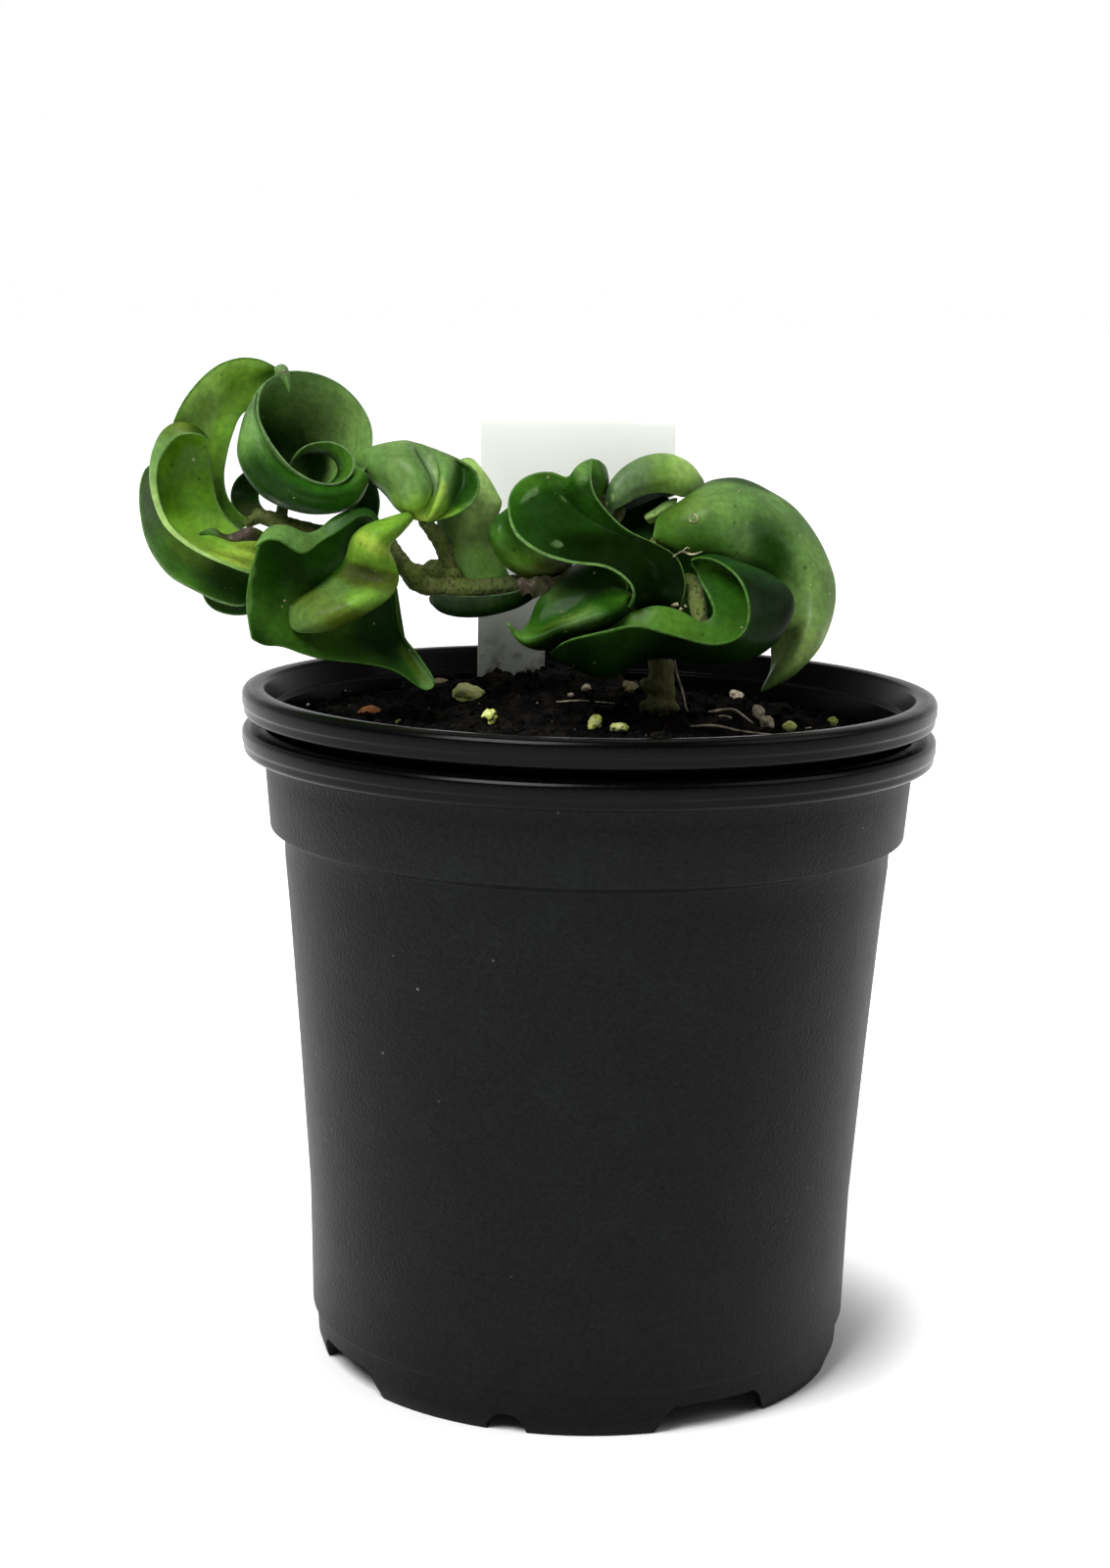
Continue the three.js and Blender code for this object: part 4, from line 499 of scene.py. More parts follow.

# How each leaf is coloured. "upper" and "under" are its two faces: the tones from one end of the rails
# to the other, then soft patches as (tone, along, across, reach along, reach across, strength). Besides
# the leaves' own colours, many tones and patches are painted shade in hollows, folds and creases, and a
# few are painted highlights and glints. "margin" is the tone of its edges, partly painted highlight where
# it is paler, and "shine" stands only where it isn't LEAF_SHINE.
LEAF_COLOURS = {
    "hook_upper": {
        # The bloom patch at the bend is a painted highlight, and the deep patch at the inner margin is
        # painted shade
        "upper": (("fresh", "lime", "lime", "lime", "fresh", "fresh"),
                  [("bloom", 0.45, 0.3, 0.16, 0.45, 0.5), ("deep", 0.55, 1.05, 0.5, 0.3, 0.55),
                   ("bloom", 0.2, -0.05, 0.3, 0.3, 0.3)]),
        "under": (("grey", "fresh"), []),
        "margin": "fresh",
    },
    "hook_lower": {
        # The deep and dark patches at the start are painted shade inside the top of the curl
        "upper": (("lime_shade", "lime_shade", "lime_shade", "lime_shade", "lime", "yellow"),
                  [("bloom", 0.45, -0.05, 0.5, 0.26, 0.6), ("deep", 0.06, 0.05, 0.14, 0.3, 0.8),
                   ("lime", 0.72, 0.5, 0.14, 0.6, 0.5), ("yellow", 0.95, 0.2, 0.3, 0.5, 0.5)]),
        "under": (("dark", "olive", "leaf_soft", "bloom", "bloom", "fresh"),
                  [("dark", 0.1, 0.1, 0.12, 0.3, 0.6)]),
        "margin": "leaf_soft",
    },
    "hook_back": {
        "upper": (("grey", "grey", "leaf", "leaf", "dark"),
                  [("dark", 0.95, 0.6, 0.35, 0.9, 0.8), ("grey", 0.25, -0.05, 0.5, 0.35, 0.6),
                   ("olive", 0.55, 0.9, 0.3, 0.5, 0.5)]),
        "under": (("grey", "leaf"), []),
        "margin": "grey",
    },
    "hook_under": {
        "upper": (("leaf", "leaf", "dark"), [("dark", 0.8, 0.3, 0.5, 0.8, 0.6)]),
        "under": (("leaf",), []),
        "margin": "grey",
    },
    "snail": {
        "upper": (("leaf", "deep", "leaf_soft", "leaf_soft"), [("grey", 0.4, 0.1, 0.5, 0.2, 0.6)]),
        # The deep, dark and shadow patches on the inner face are painted shade inside the roll and in its eye
        "under": (("leaf", "leaf", "leaf", "leaf_soft", "leaf_soft", "pale", "leaf_soft"),
                  [("deep", 0.62, 0.75, 0.16, 0.6, 0.7), ("deep", 0.2, 0.9, 0.5, 0.5, 0.5),
                   ("grey", 0.6, 0.02, 0.14, 0.3, 0.5), ("dark", 0.6, 1.0, 1.0, 0.5, 0.8),
                   ("shadow", 0.9, 0.72, 0.13, 0.2, 1.0), ("shadow", 0.25, 0.95, 0.3, 0.2, 0.6)]),
        "margin": "grey",
        "shine": 0.03,
    },
    "snail_bowl": {
        "upper": (("leaf", "deep", "deep", "deep", "leaf_soft", "grey"),
                  [("leaf_soft", 0.5, 0.9, 0.4, 0.14, 0.5), ("dark", 0.5, 0.5, 0.3, 0.34, 0.95),
                   ("grey", 0.95, 0.3, 0.2, 0.5, 0.5)]),
        "under": (("leaf", "deep", "deep", "leaf_soft", "grey"), []),
        "margin": "grey",
        "shine": 0.03,
    },
    "hook_tip": {
        "upper": (("grey", "leaf_soft"), []),
        "under": (("grey", "leaf_soft"), []),
        "margin": "grey",
    },
    # The sheet under the arch leaf is painted shade all over
    "hollow_leaf": {
        "upper": (("dark", "shadow", "dark"), []),
        "under": (("dark", "shadow"), []),
        "margin": "deep",
    },
    "shard_leaf": {
        "upper": (("bloom", "pale", "bloom"), [("cork", 0.85, 0.3, 0.2, 0.5, 0.4)]),
        "under": (("bloom", "pale"), []),
        "margin": "bloom",
    },
    "bract_low": {
        "upper": (("dried", "bark_leaf", "dried"), [("shadow", 0.5, 0.6, 0.3, 0.3, 0.5)]),
        "under": (("dried", "bark_leaf"), []),
        "margin": "dried",
    },
    "bract_high": {
        "upper": (("bark_leaf", "dried", "bark_leaf"), [("shadow", 0.4, 0.7, 0.3, 0.3, 0.6)]),
        "under": (("dried", "bark_leaf"), []),
        "margin": "dried",
    },
    "dry_margin": {
        "upper": (("dark", "leaf", "bark_leaf", "dried", "dried", "olive"), []),
        "under": (("dark", "leaf", "bark_leaf", "dried", "dried", "olive"), []),
        "margin": "dried",
    },
    "shade_leaf": {
        "upper": (("deep", "dark", "dark"), []),
        "under": (("deep",), []),
        "margin": "leaf",
    },
    "bud_leaf": {
        "upper": (("dark", "dark", "bark_leaf"), []),
        "under": (("dark",), []),
        "margin": "leaf",
    },
    "fold_back": {
        "upper": (("leaf_soft", "leaf_soft", "leaf_soft", "deep", "dark", "leaf", "leaf"), []),
        "under": (("deep", "dark", "deep", "dark", "dark", "deep", "leaf_soft"),
                  [("leaf", 0.22, 0.8, 0.3, 0.25, 0.8), ("pale", -0.02, 0.6, 0.035, 0.9, 0.7),
                   ("deep", 0.46, 0.2, 0.14, 0.2, 0.7), ("dark", 0.62, 0.8, 0.2, 0.3, 0.3),
                   ("olive", 0.88, 0.66, 0.14, 0.3, 0.5), ("grey", 0.97, 0.4, 0.12, 0.4, 0.5),
                   ("leaf", 0.42, 1.0, 0.25, 0.16, 0.45)]),
        "margin": "leaf",
        "shine": 0.05,
    },
    "fold_front": {
        # The narrow lime patch three quarters along is a painted highlight on the ridge of the tongue
        "upper": (("fresh", "lime", "lime", "yellow", "lime", "olive", "leaf_soft", "olive", "leaf_soft"),
                  [("olive", 0.64, 0.6, 0.15, 0.9, 0.95), ("bark_leaf", 0.63, 0.4, 0.11, 0.6, 0.8),
                   ("lime", 0.78, 0.8, 0.06, 0.4, 0.7), ("deep", 0.72, -0.02, 0.3, 0.24, 0.9),
                   ("fresh", 0.4, 0.0, 0.2, 0.22, 0.7), ("pale", 0.9, 0.4, 0.14, 0.3, 0.3),
                   ("fresh", 0.45, 0.5, 0.1, 0.6, 0.35)]),
        "under": (("leaf",), []),
        "margin": "leaf",
        "shine": 0.03,
    },
    "cap_leaf": {
        # The narrow dark patch is painted shadow in the crease
        "upper": (("pale", "leaf_soft", "leaf_soft", "lime", "yellow"),
                  [("fresh", 0.5, 0.04, 0.4, 0.12, 0.8), ("pale", 0.4, 0.26, 0.45, 0.09, 0.8),
                   ("grey", 0.35, 0.54, 0.4, 0.14, 0.8), ("dark", 0.3, 0.43, 0.26, 0.035, 0.7),
                   ("bloom", 0.3, 0.56, 0.2, 0.05, 0.3), ("yellow", 0.62, 0.71, 0.3, 0.05, 0.6),
                   ("deep", 0.4, 0.9, 0.6, 0.16, 1.0), ("dark", 0.34, 0.9, 0.24, 0.07, 0.35)]),
        "under": (("leaf_soft", "leaf"), []),
        "margin": "leaf",
    },
    "pale_leaf": {
        "upper": (("bloom", "pale", "pale", "leaf_soft"),
                  [("fresh", 0.8, 0.5, 0.25, 0.6, 0.4), ("deep", 0.75, 0.05, 0.3, 0.3, 0.5),
                   ("bloom", 0.34, 0.8, 0.25, 0.35, 0.5), ("shadow", 0.58, 1.04, 0.12, 0.24, 0.95)]),
        "under": (("grey",), []),
        "margin": "leaf_soft",
    },
    "keel_leaf": {
        "upper": (("bark_leaf", "shadow"), []),
        "under": (("grey_dark", "dark", "shadow"), [("grey_dark", 0.4, 0.1, 0.4, 0.2, 0.6)]),
        "margin": "grey_dark",
        "shine": 0.03,
    },
    "wrap_leaf": {
        "upper": (("leaf", "deep", "leaf", "fresh", "olive", "bark_leaf"),
                  [("deep", 0.3, -0.02, 0.4, 0.16, 0.7), ("deep", 0.3, 1.0, 0.3, 0.4, 0.7),
                   ("bark_leaf", 0.95, 0.4, 0.35, 0.8, 0.7)]),
        "under": (("leaf",), []),
        "margin": "deep",
    },
    "wave_upper": {
        # The leaf and leaf_soft patches at the start are painted light on the top lobe, the dark and shadow
        # patches painted shade in the deep part, and the three small grey patches painted glints
        "upper": (("deep", "dark", "dark", "shadow", "shadow", "shadow"),
                  [("leaf", -0.02, 0.4, 0.14, 0.4, 0.8), ("leaf_soft", 0.02, 0.9, 0.16, 0.16, 0.8),
                   ("dark", 0.22, 0.2, 0.16, 0.26, 0.95), ("shadow", 0.75, 0.5, 0.42, 0.9, 1.0),
                   ("shadow", 0.5, 0.12, 0.24, 0.26, 1.0), ("grey", 0.08, 0.2, 0.03, 0.12, 0.5),
                   ("deep", 0.26, 0.75, 0.12, 0.2, 0.6),
                   ("grey", 0.17, 0.44, 0.025, 0.04, 0.45), ("grey", 0.34, 0.09, 0.03, 0.045, 0.5)]),
        "under": (("leaf",), []),
        "margin": "leaf_soft",
        "shine": 0.01,
    },
    "crest_back": {
        "upper": (("leaf", "deep"), []),
        "under": (("leaf",), []),
        "margin": "leaf",
    },
    "wave_lower": {
        "upper": (("leaf",), []),
        # The bark_leaf patch along the top is painted shade under the rim above it, and the shadow patches
        # painted shade in the hollow and underneath
        "under": (("leaf", "leaf", "deep", "leaf_soft", "deep", "leaf"),
                  [("shadow", 0.82, 0.24, 0.34, 0.28, 0.8), ("bark_leaf", 0.5, 0.02, 0.34, 0.2, 0.9),
                   ("deep", 0.59, 0.45, 0.22, 0.22, 0.9), ("olive", 0.5, 0.6, 0.3, 0.12, 0.4),
                   ("shadow", 0.5, 1.05, 0.8, 0.42, 1.0)]),
        "margin": "leaf_soft",
        "shine": 0.03,
    },
    "boat_leaf": {
        # The deep patch in the hollow and the dark patch at the tucked-in end are painted shade
        "upper": (("shadow", "dark", "leaf", "leaf", "leaf", "leaf", "leaf", "deep"),
                  [("deep", 0.7, 0.94, 0.16, 0.26, 0.9), ("dark", 0.05, 0.9, 0.1, 0.5, 0.9),
                   ("lime", 0.3, 0.85, 0.2, 0.3, 0.2)]),
        "under": (("dark", "dark", "shadow", "dark", "shadow", "deep", "deep"),
                  [("teal", 0.8, 0.3, 0.16, 0.4, 0.6), ("shadow", 0.5, 0.4, 0.3, 0.5, 0.5),
                   ("shadow", 0.05, 0.3, 0.15, 0.5, 0.7)]),
        "margin": "leaf",
        "shine": 0.05,
    },
    "claw_leaf": {
        "upper": (("leaf",), []),
        # The deep patch across the middle is painted shade in its fold
        "under": (("fresh", "leaf", "leaf_soft", "leaf_soft", "pale", "bloom", "pale"),
                  [("dark", 0.31, 0.04, 0.15, 0.12, 0.9), ("deep", 0.42, 0.66, 0.14, 0.45, 0.9),
                   ("pale", 0.22, 0.3, 0.12, 0.3, 0.6), ("dark", 0.5, 0.95, 0.25, 0.3, 0.8),
                   ("leaf", 0.06, 0.5, 0.08, 0.6, 0.6), ("pale", 0.66, 0.2, 0.2, 0.3, 0.5),
                   ("olive", 0.14, 0.25, 0.1, 0.3, 0.35)]),
        "margin": "leaf",
    },
    "shaded_back": {
        "upper": (("dark",), []),
        "under": (("dark", "deep"), []),
        "margin": "leaf",
    },
    "arch_leaf": {
        # The small bloom patch is a painted glint, and the dark under face is painted shade in the hollow
        # beneath the arch
        "upper": (("grey", "grey", "grey", "pale", "bloom", "pale"),
                  [("lime", 0.75, 0.2, 0.3, 0.3, 0.4), ("teal", 0.02, 0.4, 0.15, 0.5, 0.8),
                   ("bloom", 0.1, 0.24, 0.03, 0.08, 0.4)]),
        "under": (("shadow", "dark"), []),
        "margin": "grey",
    },
}

# Where a leaf's free end is rounded off: the length in millimetres at each end of its rails
LEAF_TIPS = {
    "hook_upper": (5, 0), "hook_lower": (7, 0), "hook_back": (5, 4), "hook_under": (5, 0),
    "snail": (6, 0), "fold_back": (0, 3), "cap_leaf": (5, 3), "pale_leaf": (4, 0),
    "wave_lower": (0, 6), "fold_front": (0, 1.5), "boat_leaf": (7, 0), "claw_leaf": (6, 4),
    "arch_leaf": (0, 4), "wrap_leaf": (3, 0), "keel_leaf": (4, 3),
}


# Settings that a user would change
def colour_choice(label, meaning, code):
    """A colour property whose default is a screen colour written as six hexadecimal digits."""
    return bpy.props.FloatVectorProperty(
        name=label, description=meaning, subtype="COLOR", size=4, min=0, max=1, default=screen_colour(code))


def screen_colour(code):
    """The linear colour of six hexadecimal digits."""
    parts = [int(code[k:k + 2], 16) / 255 for k in (0, 2, 4)]
    linear = [part / 12.92 if part <= 0.04045 else ((part + 0.055) / 1.055) ** 2.4 for part in parts]
    return (*linear, 1.0)


class LeafSettings(bpy.types.PropertyGroup):
    """Tones and thickness of the leaves."""
    # Besides the leaves' own colours, some tones are painted light and shade: lime_shade, dark and shadow
    # paint shade in hollows, folds and creases, and yellow, bloom and grey also paint highlights, sheen and
    # glints
    yellow: colour_choice("Yellow Lime", "Thin, sunlit ridges and tips", "8aa43c")
    lime: colour_choice("Lime", "Young inner faces", "66902a")
    lime_shade: colour_choice("Shaded Lime", "Hollows of the young leaves", "42690c")
    fresh: colour_choice("Fresh Green", "Margins and sides of the young leaves", "4c7420")
    leaf: colour_choice("Leaf Green", "Mature leaf faces", "38601a")
    leaf_soft: colour_choice("Soft Leaf Green", "Mature faces with a grey bloom", "55783a")
    deep: colour_choice("Deep Green", "Old glossy leaf faces", "1d4409")
    dark: colour_choice("Dark Green", "Deepest folds of the old leaves", "16330a")
    shadow: colour_choice("Shadow Green", "Innermost folds", "081802")
    olive: colour_choice("Olive", "Faces that turn brown near the stem", "4c5e18")
    bark_leaf: colour_choice("Brown Green", "Leaf bases at the bark", "363a1f")
    grey: colour_choice("Grey Green", "Dusty backs and upper edges", "5a7548")
    grey_dark: colour_choice("Dark Grey Green", "Undersides in the shade", "2c3824")
    teal: colour_choice("Blue Green", "Cool, bloomed backs", "1f3a1e")
    pale: colour_choice("Pale Green", "Bloomed tops of the pale leaves", "607f40")
    bloom: colour_choice("Bloom", "Waxy margins and highlights", "8cab5c")
    dried: colour_choice("Dried", "Withered margins and bracts", "40352c")
    cork: colour_choice("Cork", "Scars and dry specks", "a39f78")
    thickness: bpy.props.FloatProperty(
        name="Thickness", description="Share of the natural leaf thickness", subtype="FACTOR",
        default=1.0, min=0.4, max=1.4)
    cell: bpy.props.FloatProperty(
        name="Cell Size", description="Width of the cells that a leaf is drawn with", subtype="DISTANCE",
        unit="LENGTH", default=0.0022, min=0.001, max=0.005)
    ripple: bpy.props.FloatProperty(
        name="Ripple", description="Height of the gentle swellings on a leaf", subtype="DISTANCE",
        unit="LENGTH", default=0.00028, min=0.0, max=0.001)
    gloss: bpy.props.FloatProperty(
        name="Roughness", description="Roughness of a clean leaf face", subtype="FACTOR",
        default=0.34, min=0.1, max=0.9)


class PotSettings(bpy.types.PropertyGroup):
    """Plastic of the two nested pots."""
    plastic: colour_choice("Plastic", "Black moulded plastic", "090a0b")
    # Painted shade: this tone darkens the pots' inner walls and, mixed in, their rims
    lining: colour_choice("Lining", "Plastic inside the rim, wet and in shade", "020202")
    worn: colour_choice("Worn Plastic", "Rubbed edges and faint scuffs", "121415")
    dust: colour_choice("Dust", "Dried soil and lime on the plastic", "6d6960")
    steps: bpy.props.IntProperty(
        name="Steps", description="Steps round each pot", default=144, min=32, max=256)
    edge: bpy.props.FloatProperty(
        name="Edge Round", description="Width of the rounding on moulded edges", subtype="DISTANCE",
        unit="LENGTH", default=0.0003, min=0.0001, max=0.001)


class SoilSettings(bpy.types.PropertyGroup):
    """Potting soil and what lies in it."""
    dark: colour_choice("Wet Soil", "Moist peat", "050505")
    light: colour_choice("Dry Soil", "Dry crumbs", "1d1a17")
    feed: colour_choice("Feed Prills", "Yellow green feed granules", "c0cd58")
    bark: colour_choice("Bark Chip", "Orange bark", "a8642a")
    stone: colour_choice("Grit", "Tan grit and small stones", "a0927a")
    root: colour_choice("Roots", "Fine pale roots", "b7ab95")
    crumbs: bpy.props.IntProperty(
        name="Crumbs", description="Loose crumbs on the surface", default=1800, min=0, max=4000)
    cell: bpy.props.FloatProperty(
        name="Cell Size", description="Width of the cells of the soil's surface", subtype="DISTANCE",
        unit="LENGTH", default=0.00085, min=0.0005, max=0.003)


class StemSettings(bpy.types.PropertyGroup):
    """Bark of the trunk and vine."""
    bark: colour_choice("Bark", "Olive brown bark", "505a2a")
    pale_bark: colour_choice("Pale Bark", "Dry corky patches", "716c48")
    dark_bark: colour_choice("Dark Bark", "Cracks and shaded rings", "2b2518")
    green_bark: colour_choice("Green Bark", "Young bark", "526026")
    # Painted shade: this tone darkens the vine under the leaves, and the bark towards the soil
    shade_bark: colour_choice("Shaded Bark", "Damp bark near the soil and under the leaves", "0d0f08")
    voxel: bpy.props.FloatProperty(
        name="Detail", description="Size of the finest bark detail", subtype="DISTANCE", unit="LENGTH",
        default=0.00042, min=0.0002, max=0.002)


class TagSettings(bpy.types.PropertyGroup):
    """Plain plant tag."""
    plastic: colour_choice("Tag", "White plastic sheet", "eef1ea")
    # This colour serves for the soil stain and for the painted shade on the lower part of the tag
    stain: colour_choice("Stain", "Soil and damp near the foot of the tag", "4a4d40")
    thickness: bpy.props.FloatProperty(
        name="Thickness", description="Thickness of the sheet", subtype="DISTANCE", unit="LENGTH",
        default=0.001, min=0.0003, max=0.002)


class StageSettings(bpy.types.PropertyGroup):
    """Floor and light of the plain studio."""
    floor: colour_choice("Floor", "Pale seamless floor", "f4f4f4")
    surround: colour_choice("Surround", "Light of the studio round the object", "ffffff")
    glow: bpy.props.FloatProperty(
        name="Floor Glow", description="Light that the floor gives of its own", subtype="FACTOR",
        default=0.85, min=0.0, max=1.0)
    front: bpy.props.FloatProperty(
        name="Front Surround", description="Brightness of the studio before the object", default=0.22,
        min=0.0, max=2.0)
    back: bpy.props.FloatProperty(
        name="Back Surround", description="Brightness of the studio behind the object", default=1.1,
        min=0.0, max=2.0)
    top: bpy.props.FloatProperty(
        name="Top Surround", description="Brightness above the object, as a share of that at its level",
        subtype="FACTOR", default=0.32, min=0.0, max=1.0)
    key_power: bpy.props.FloatProperty(
        name="Key Light", description="Power of the overhead softbox", subtype="POWER", unit="POWER",
        default=33.0, min=0.0, max=400.0)
    fill_power: bpy.props.FloatProperty(
        name="Fill Light", description="Power of the side softbox", subtype="POWER", unit="POWER",
        default=3.0, min=0.0, max=400.0)


# Points and curves
def placed(point):
    """A point in millimetres from the pot's axis, as metres in the scene."""
    return POT_AXIS + Vector(point) * MM


def seen(point):
    """A point of the front elevation, pushed along the line of sight to its depth; millimetres."""
    across, up, depth = point
    reach = 1 + depth / -EYE.y
    return Vector((EYE.x + (across - EYE.x) * reach, depth, EYE.z + (up - EYE.z) * reach))


def curve_point(points, share):
    """The point at a share of the smooth curve through the points."""
    place = min(max(share, 0), 1) * (len(points) - 1)
    k = min(int(place), len(points) - 2)
    t = place - k
    start, end = points[k], points[k + 1]
    before = points[k - 1] if k > 0 else start * 2 - end
    after = points[k + 2] if k + 2 < len(points) else end * 2 - start
    bend = (2 * before - 5 * start + 4 * end - after) * t ** 2
    twist = (3 * start - before - 3 * end + after) * t ** 3
    return 0.5 * (2 * start + (end - before) * t + bend + twist)


def smooth_step(low, high, value):
    """0 at low, 1 at high and smooth between."""
    t = min(max((value - low) / (high - low), 0), 1)
    return t * t * (3 - 2 * t)


def soil_height(x, y):
    """Height of the soil in millimetres at a place measured from the pot's axis."""
    mound = 0.0
    for hill in MOUNDS:
        across = (x - hill["x"]) ** 2 / hill["reach_x"]
        deep = (y - hill["y"]) ** 2 / hill["reach_y"]
        mound += hill["height"] * math.exp(-across - deep)
    ripple = 0.9 * math.sin(0.19 * x + 1.3) * math.cos(0.17 * y) + 0.6 * math.sin(0.41 * x - 0.36 * y)
    return SOIL_LEVEL + mound - 0.012 * x + ripple


# Materials
class Number:
    """A socket that carries a number; arithmetic on it adds the Math nodes."""

    def __init__(self, paint, socket):
        self.paint = paint
        self.socket = socket

    def math(self, operation, first, second):
        node = self.paint.node("ShaderNodeMath", {"operation": operation}, {0: first, 1: second})
        return Number(self.paint, node.outputs[0])

    def __add__(self, other):
        return self.math("ADD", self, other)

    def __radd__(self, other):
        return self.math("ADD", other, self)

    def __sub__(self, other):
        return self.math("SUBTRACT", self, other)

    def __rsub__(self, other):
        return self.math("SUBTRACT", other, self)

    def __mul__(self, other):
        return self.math("MULTIPLY", self, other)

    def __rmul__(self, other):
        return self.math("MULTIPLY", other, self)

    def step(self, low, high):
        """0 at low, 1 at high and smooth between; low may be the larger of the two."""
        node = self.paint.node("ShaderNodeMapRange", {"interpolation_type": "SMOOTHSTEP"},
                               {0: self, 1: low, 2: high})
        return Number(self.paint, node.outputs[0])


class Paint:
    """The nodes of a procedural material or of the studio's surround while they are being made."""

    def __init__(self, owner, place="Object"):
        self.owner = owner
        owner.use_nodes = True
        self.tree = owner.node_tree
        self.tree.nodes.clear()
        self.place = self.node("ShaderNodeTexCoord", {}, {}).outputs[place]

    def node(self, kind, settings, sockets):
        """A node of this kind, with its settings and then the values or links of its sockets."""
        node = self.tree.nodes.new(kind)
        for name, value in settings.items():
            if name == "stops":
                set_stops(node.color_ramp, value)
            else:
                setattr(node, name, value)
        for key, value in sockets.items():
            value = value.socket if isinstance(value, Number) else value
            if isinstance(value, bpy.types.NodeSocket):
                self.tree.links.new(value, node.inputs[key])
            else:
                node.inputs[key].default_value = value
        return node

    def noise(self, size, detail=2.0, stretch=(1, 1, 1), shift=0.0):
        """Cloudy noise whose features are about this many millimetres wide."""
        place = self.node("ShaderNodeMapping", {}, {0: self.place, 1: (shift, shift, 0), 3: stretch})
        node = self.node("ShaderNodeTexNoise", {}, {"Vector": place.outputs[0], "Scale": 1 / (size * MM),
                                                    "Detail": detail})
        return Number(self, node.outputs[0])

    def cells(self, size, shift=0.0):
        """Distance to the nearest of the points scattered about this many millimetres apart."""
        place = self.node("ShaderNodeMapping", {}, {0: self.place, 1: (shift, shift, 0)})
        node = self.node("ShaderNodeTexVoronoi", {}, {"Vector": place.outputs[0], "Scale": 1 / (size * MM)})
        return Number(self, node.outputs["Distance"])

    def place_part(self, axis):
        """One coordinate of the place on the object, in metres."""
        node = self.node("ShaderNodeSeparateXYZ", {}, {0: self.place})
        return Number(self, node.outputs[axis])

    def height(self):
        """Height in millimetres."""
        return self.place_part(2) * (1 / MM)

    def along_and_across(self):
        """Where a point lies on its leaf, from 0 to 1 along and across it."""
        source = self.node("ShaderNodeUVMap", {"uv_map": "leaf"}, {})
        parts = self.node("ShaderNodeSeparateXYZ", {}, {0: source.outputs[0]})
        return Number(self, parts.outputs[0]), Number(self, parts.outputs[1])

    def attribute(self, name):
        """A number kept on the mesh."""
        node = self.node("ShaderNodeAttribute", {"attribute_name": name}, {})
        return Number(self, node.outputs["Fac"])

    def mix(self, factor, first, second, way="MIX"):
        """One colour over another."""
        node = self.node("ShaderNodeMix", {"data_type": "RGBA", "blend_type": way},
                         {0: factor, 6: first, 7: second})
        return node.outputs[2]

    def shaded(self, colour, value, low, high):
        """A colour made darker to lighter as a cloudy number rises."""
        light = self.ramp(value, [(0.32, (low, low, low, 1)), (0.68, (high, high, high, 1))])
        return self.mix(1.0, colour, light, "MULTIPLY")

    def ramp(self, value, stops):
        """A smooth run of colours."""
        return self.node("ShaderNodeValToRGB", {"stops": stops}, {0: value}).outputs[0]

    def bump(self, height, depth, strength=1.0):
        """Fine relief, its depth in millimetres."""
        node = self.node("ShaderNodeBump", {}, {"Height": height, "Distance": depth * MM,
                                                "Strength": strength})
        return node.outputs[0]

    def finish(self, colour, roughness, normal, plain=None):
        """Joins it all in one surface shader; plain holds the values that are the same all over."""
        sockets = {"Base Color": colour, "Roughness": roughness, "Normal": normal}
        shader = self.node("ShaderNodeBsdfPrincipled", {}, {**sockets, **(plain or {})})
        self.node("ShaderNodeOutputMaterial", {}, {0: shader.outputs[0]})
        return self.owner


def set_stops(ramp, stops):
    """Gives a colour ramp its stops, as (place, colour)."""
    while len(ramp.elements) < len(stops):
        ramp.elements.new(0.5)
    while len(ramp.elements) > len(stops):
        ramp.elements.remove(ramp.elements[-1])
    for element, (place, colour) in zip(ramp.elements, stops):
        element.position = place
        element.color = colour
    ramp.interpolation = "EASE"


def even_stops(colours):
    """Stops spread evenly over a ramp."""
    last = max(len(colours) - 1, 1)
    return [(k / last, tuple(colour)) for k, colour in enumerate(colours)]


PLAIN_LEAF = ("thickness", "cell", "ripple", "gloss")


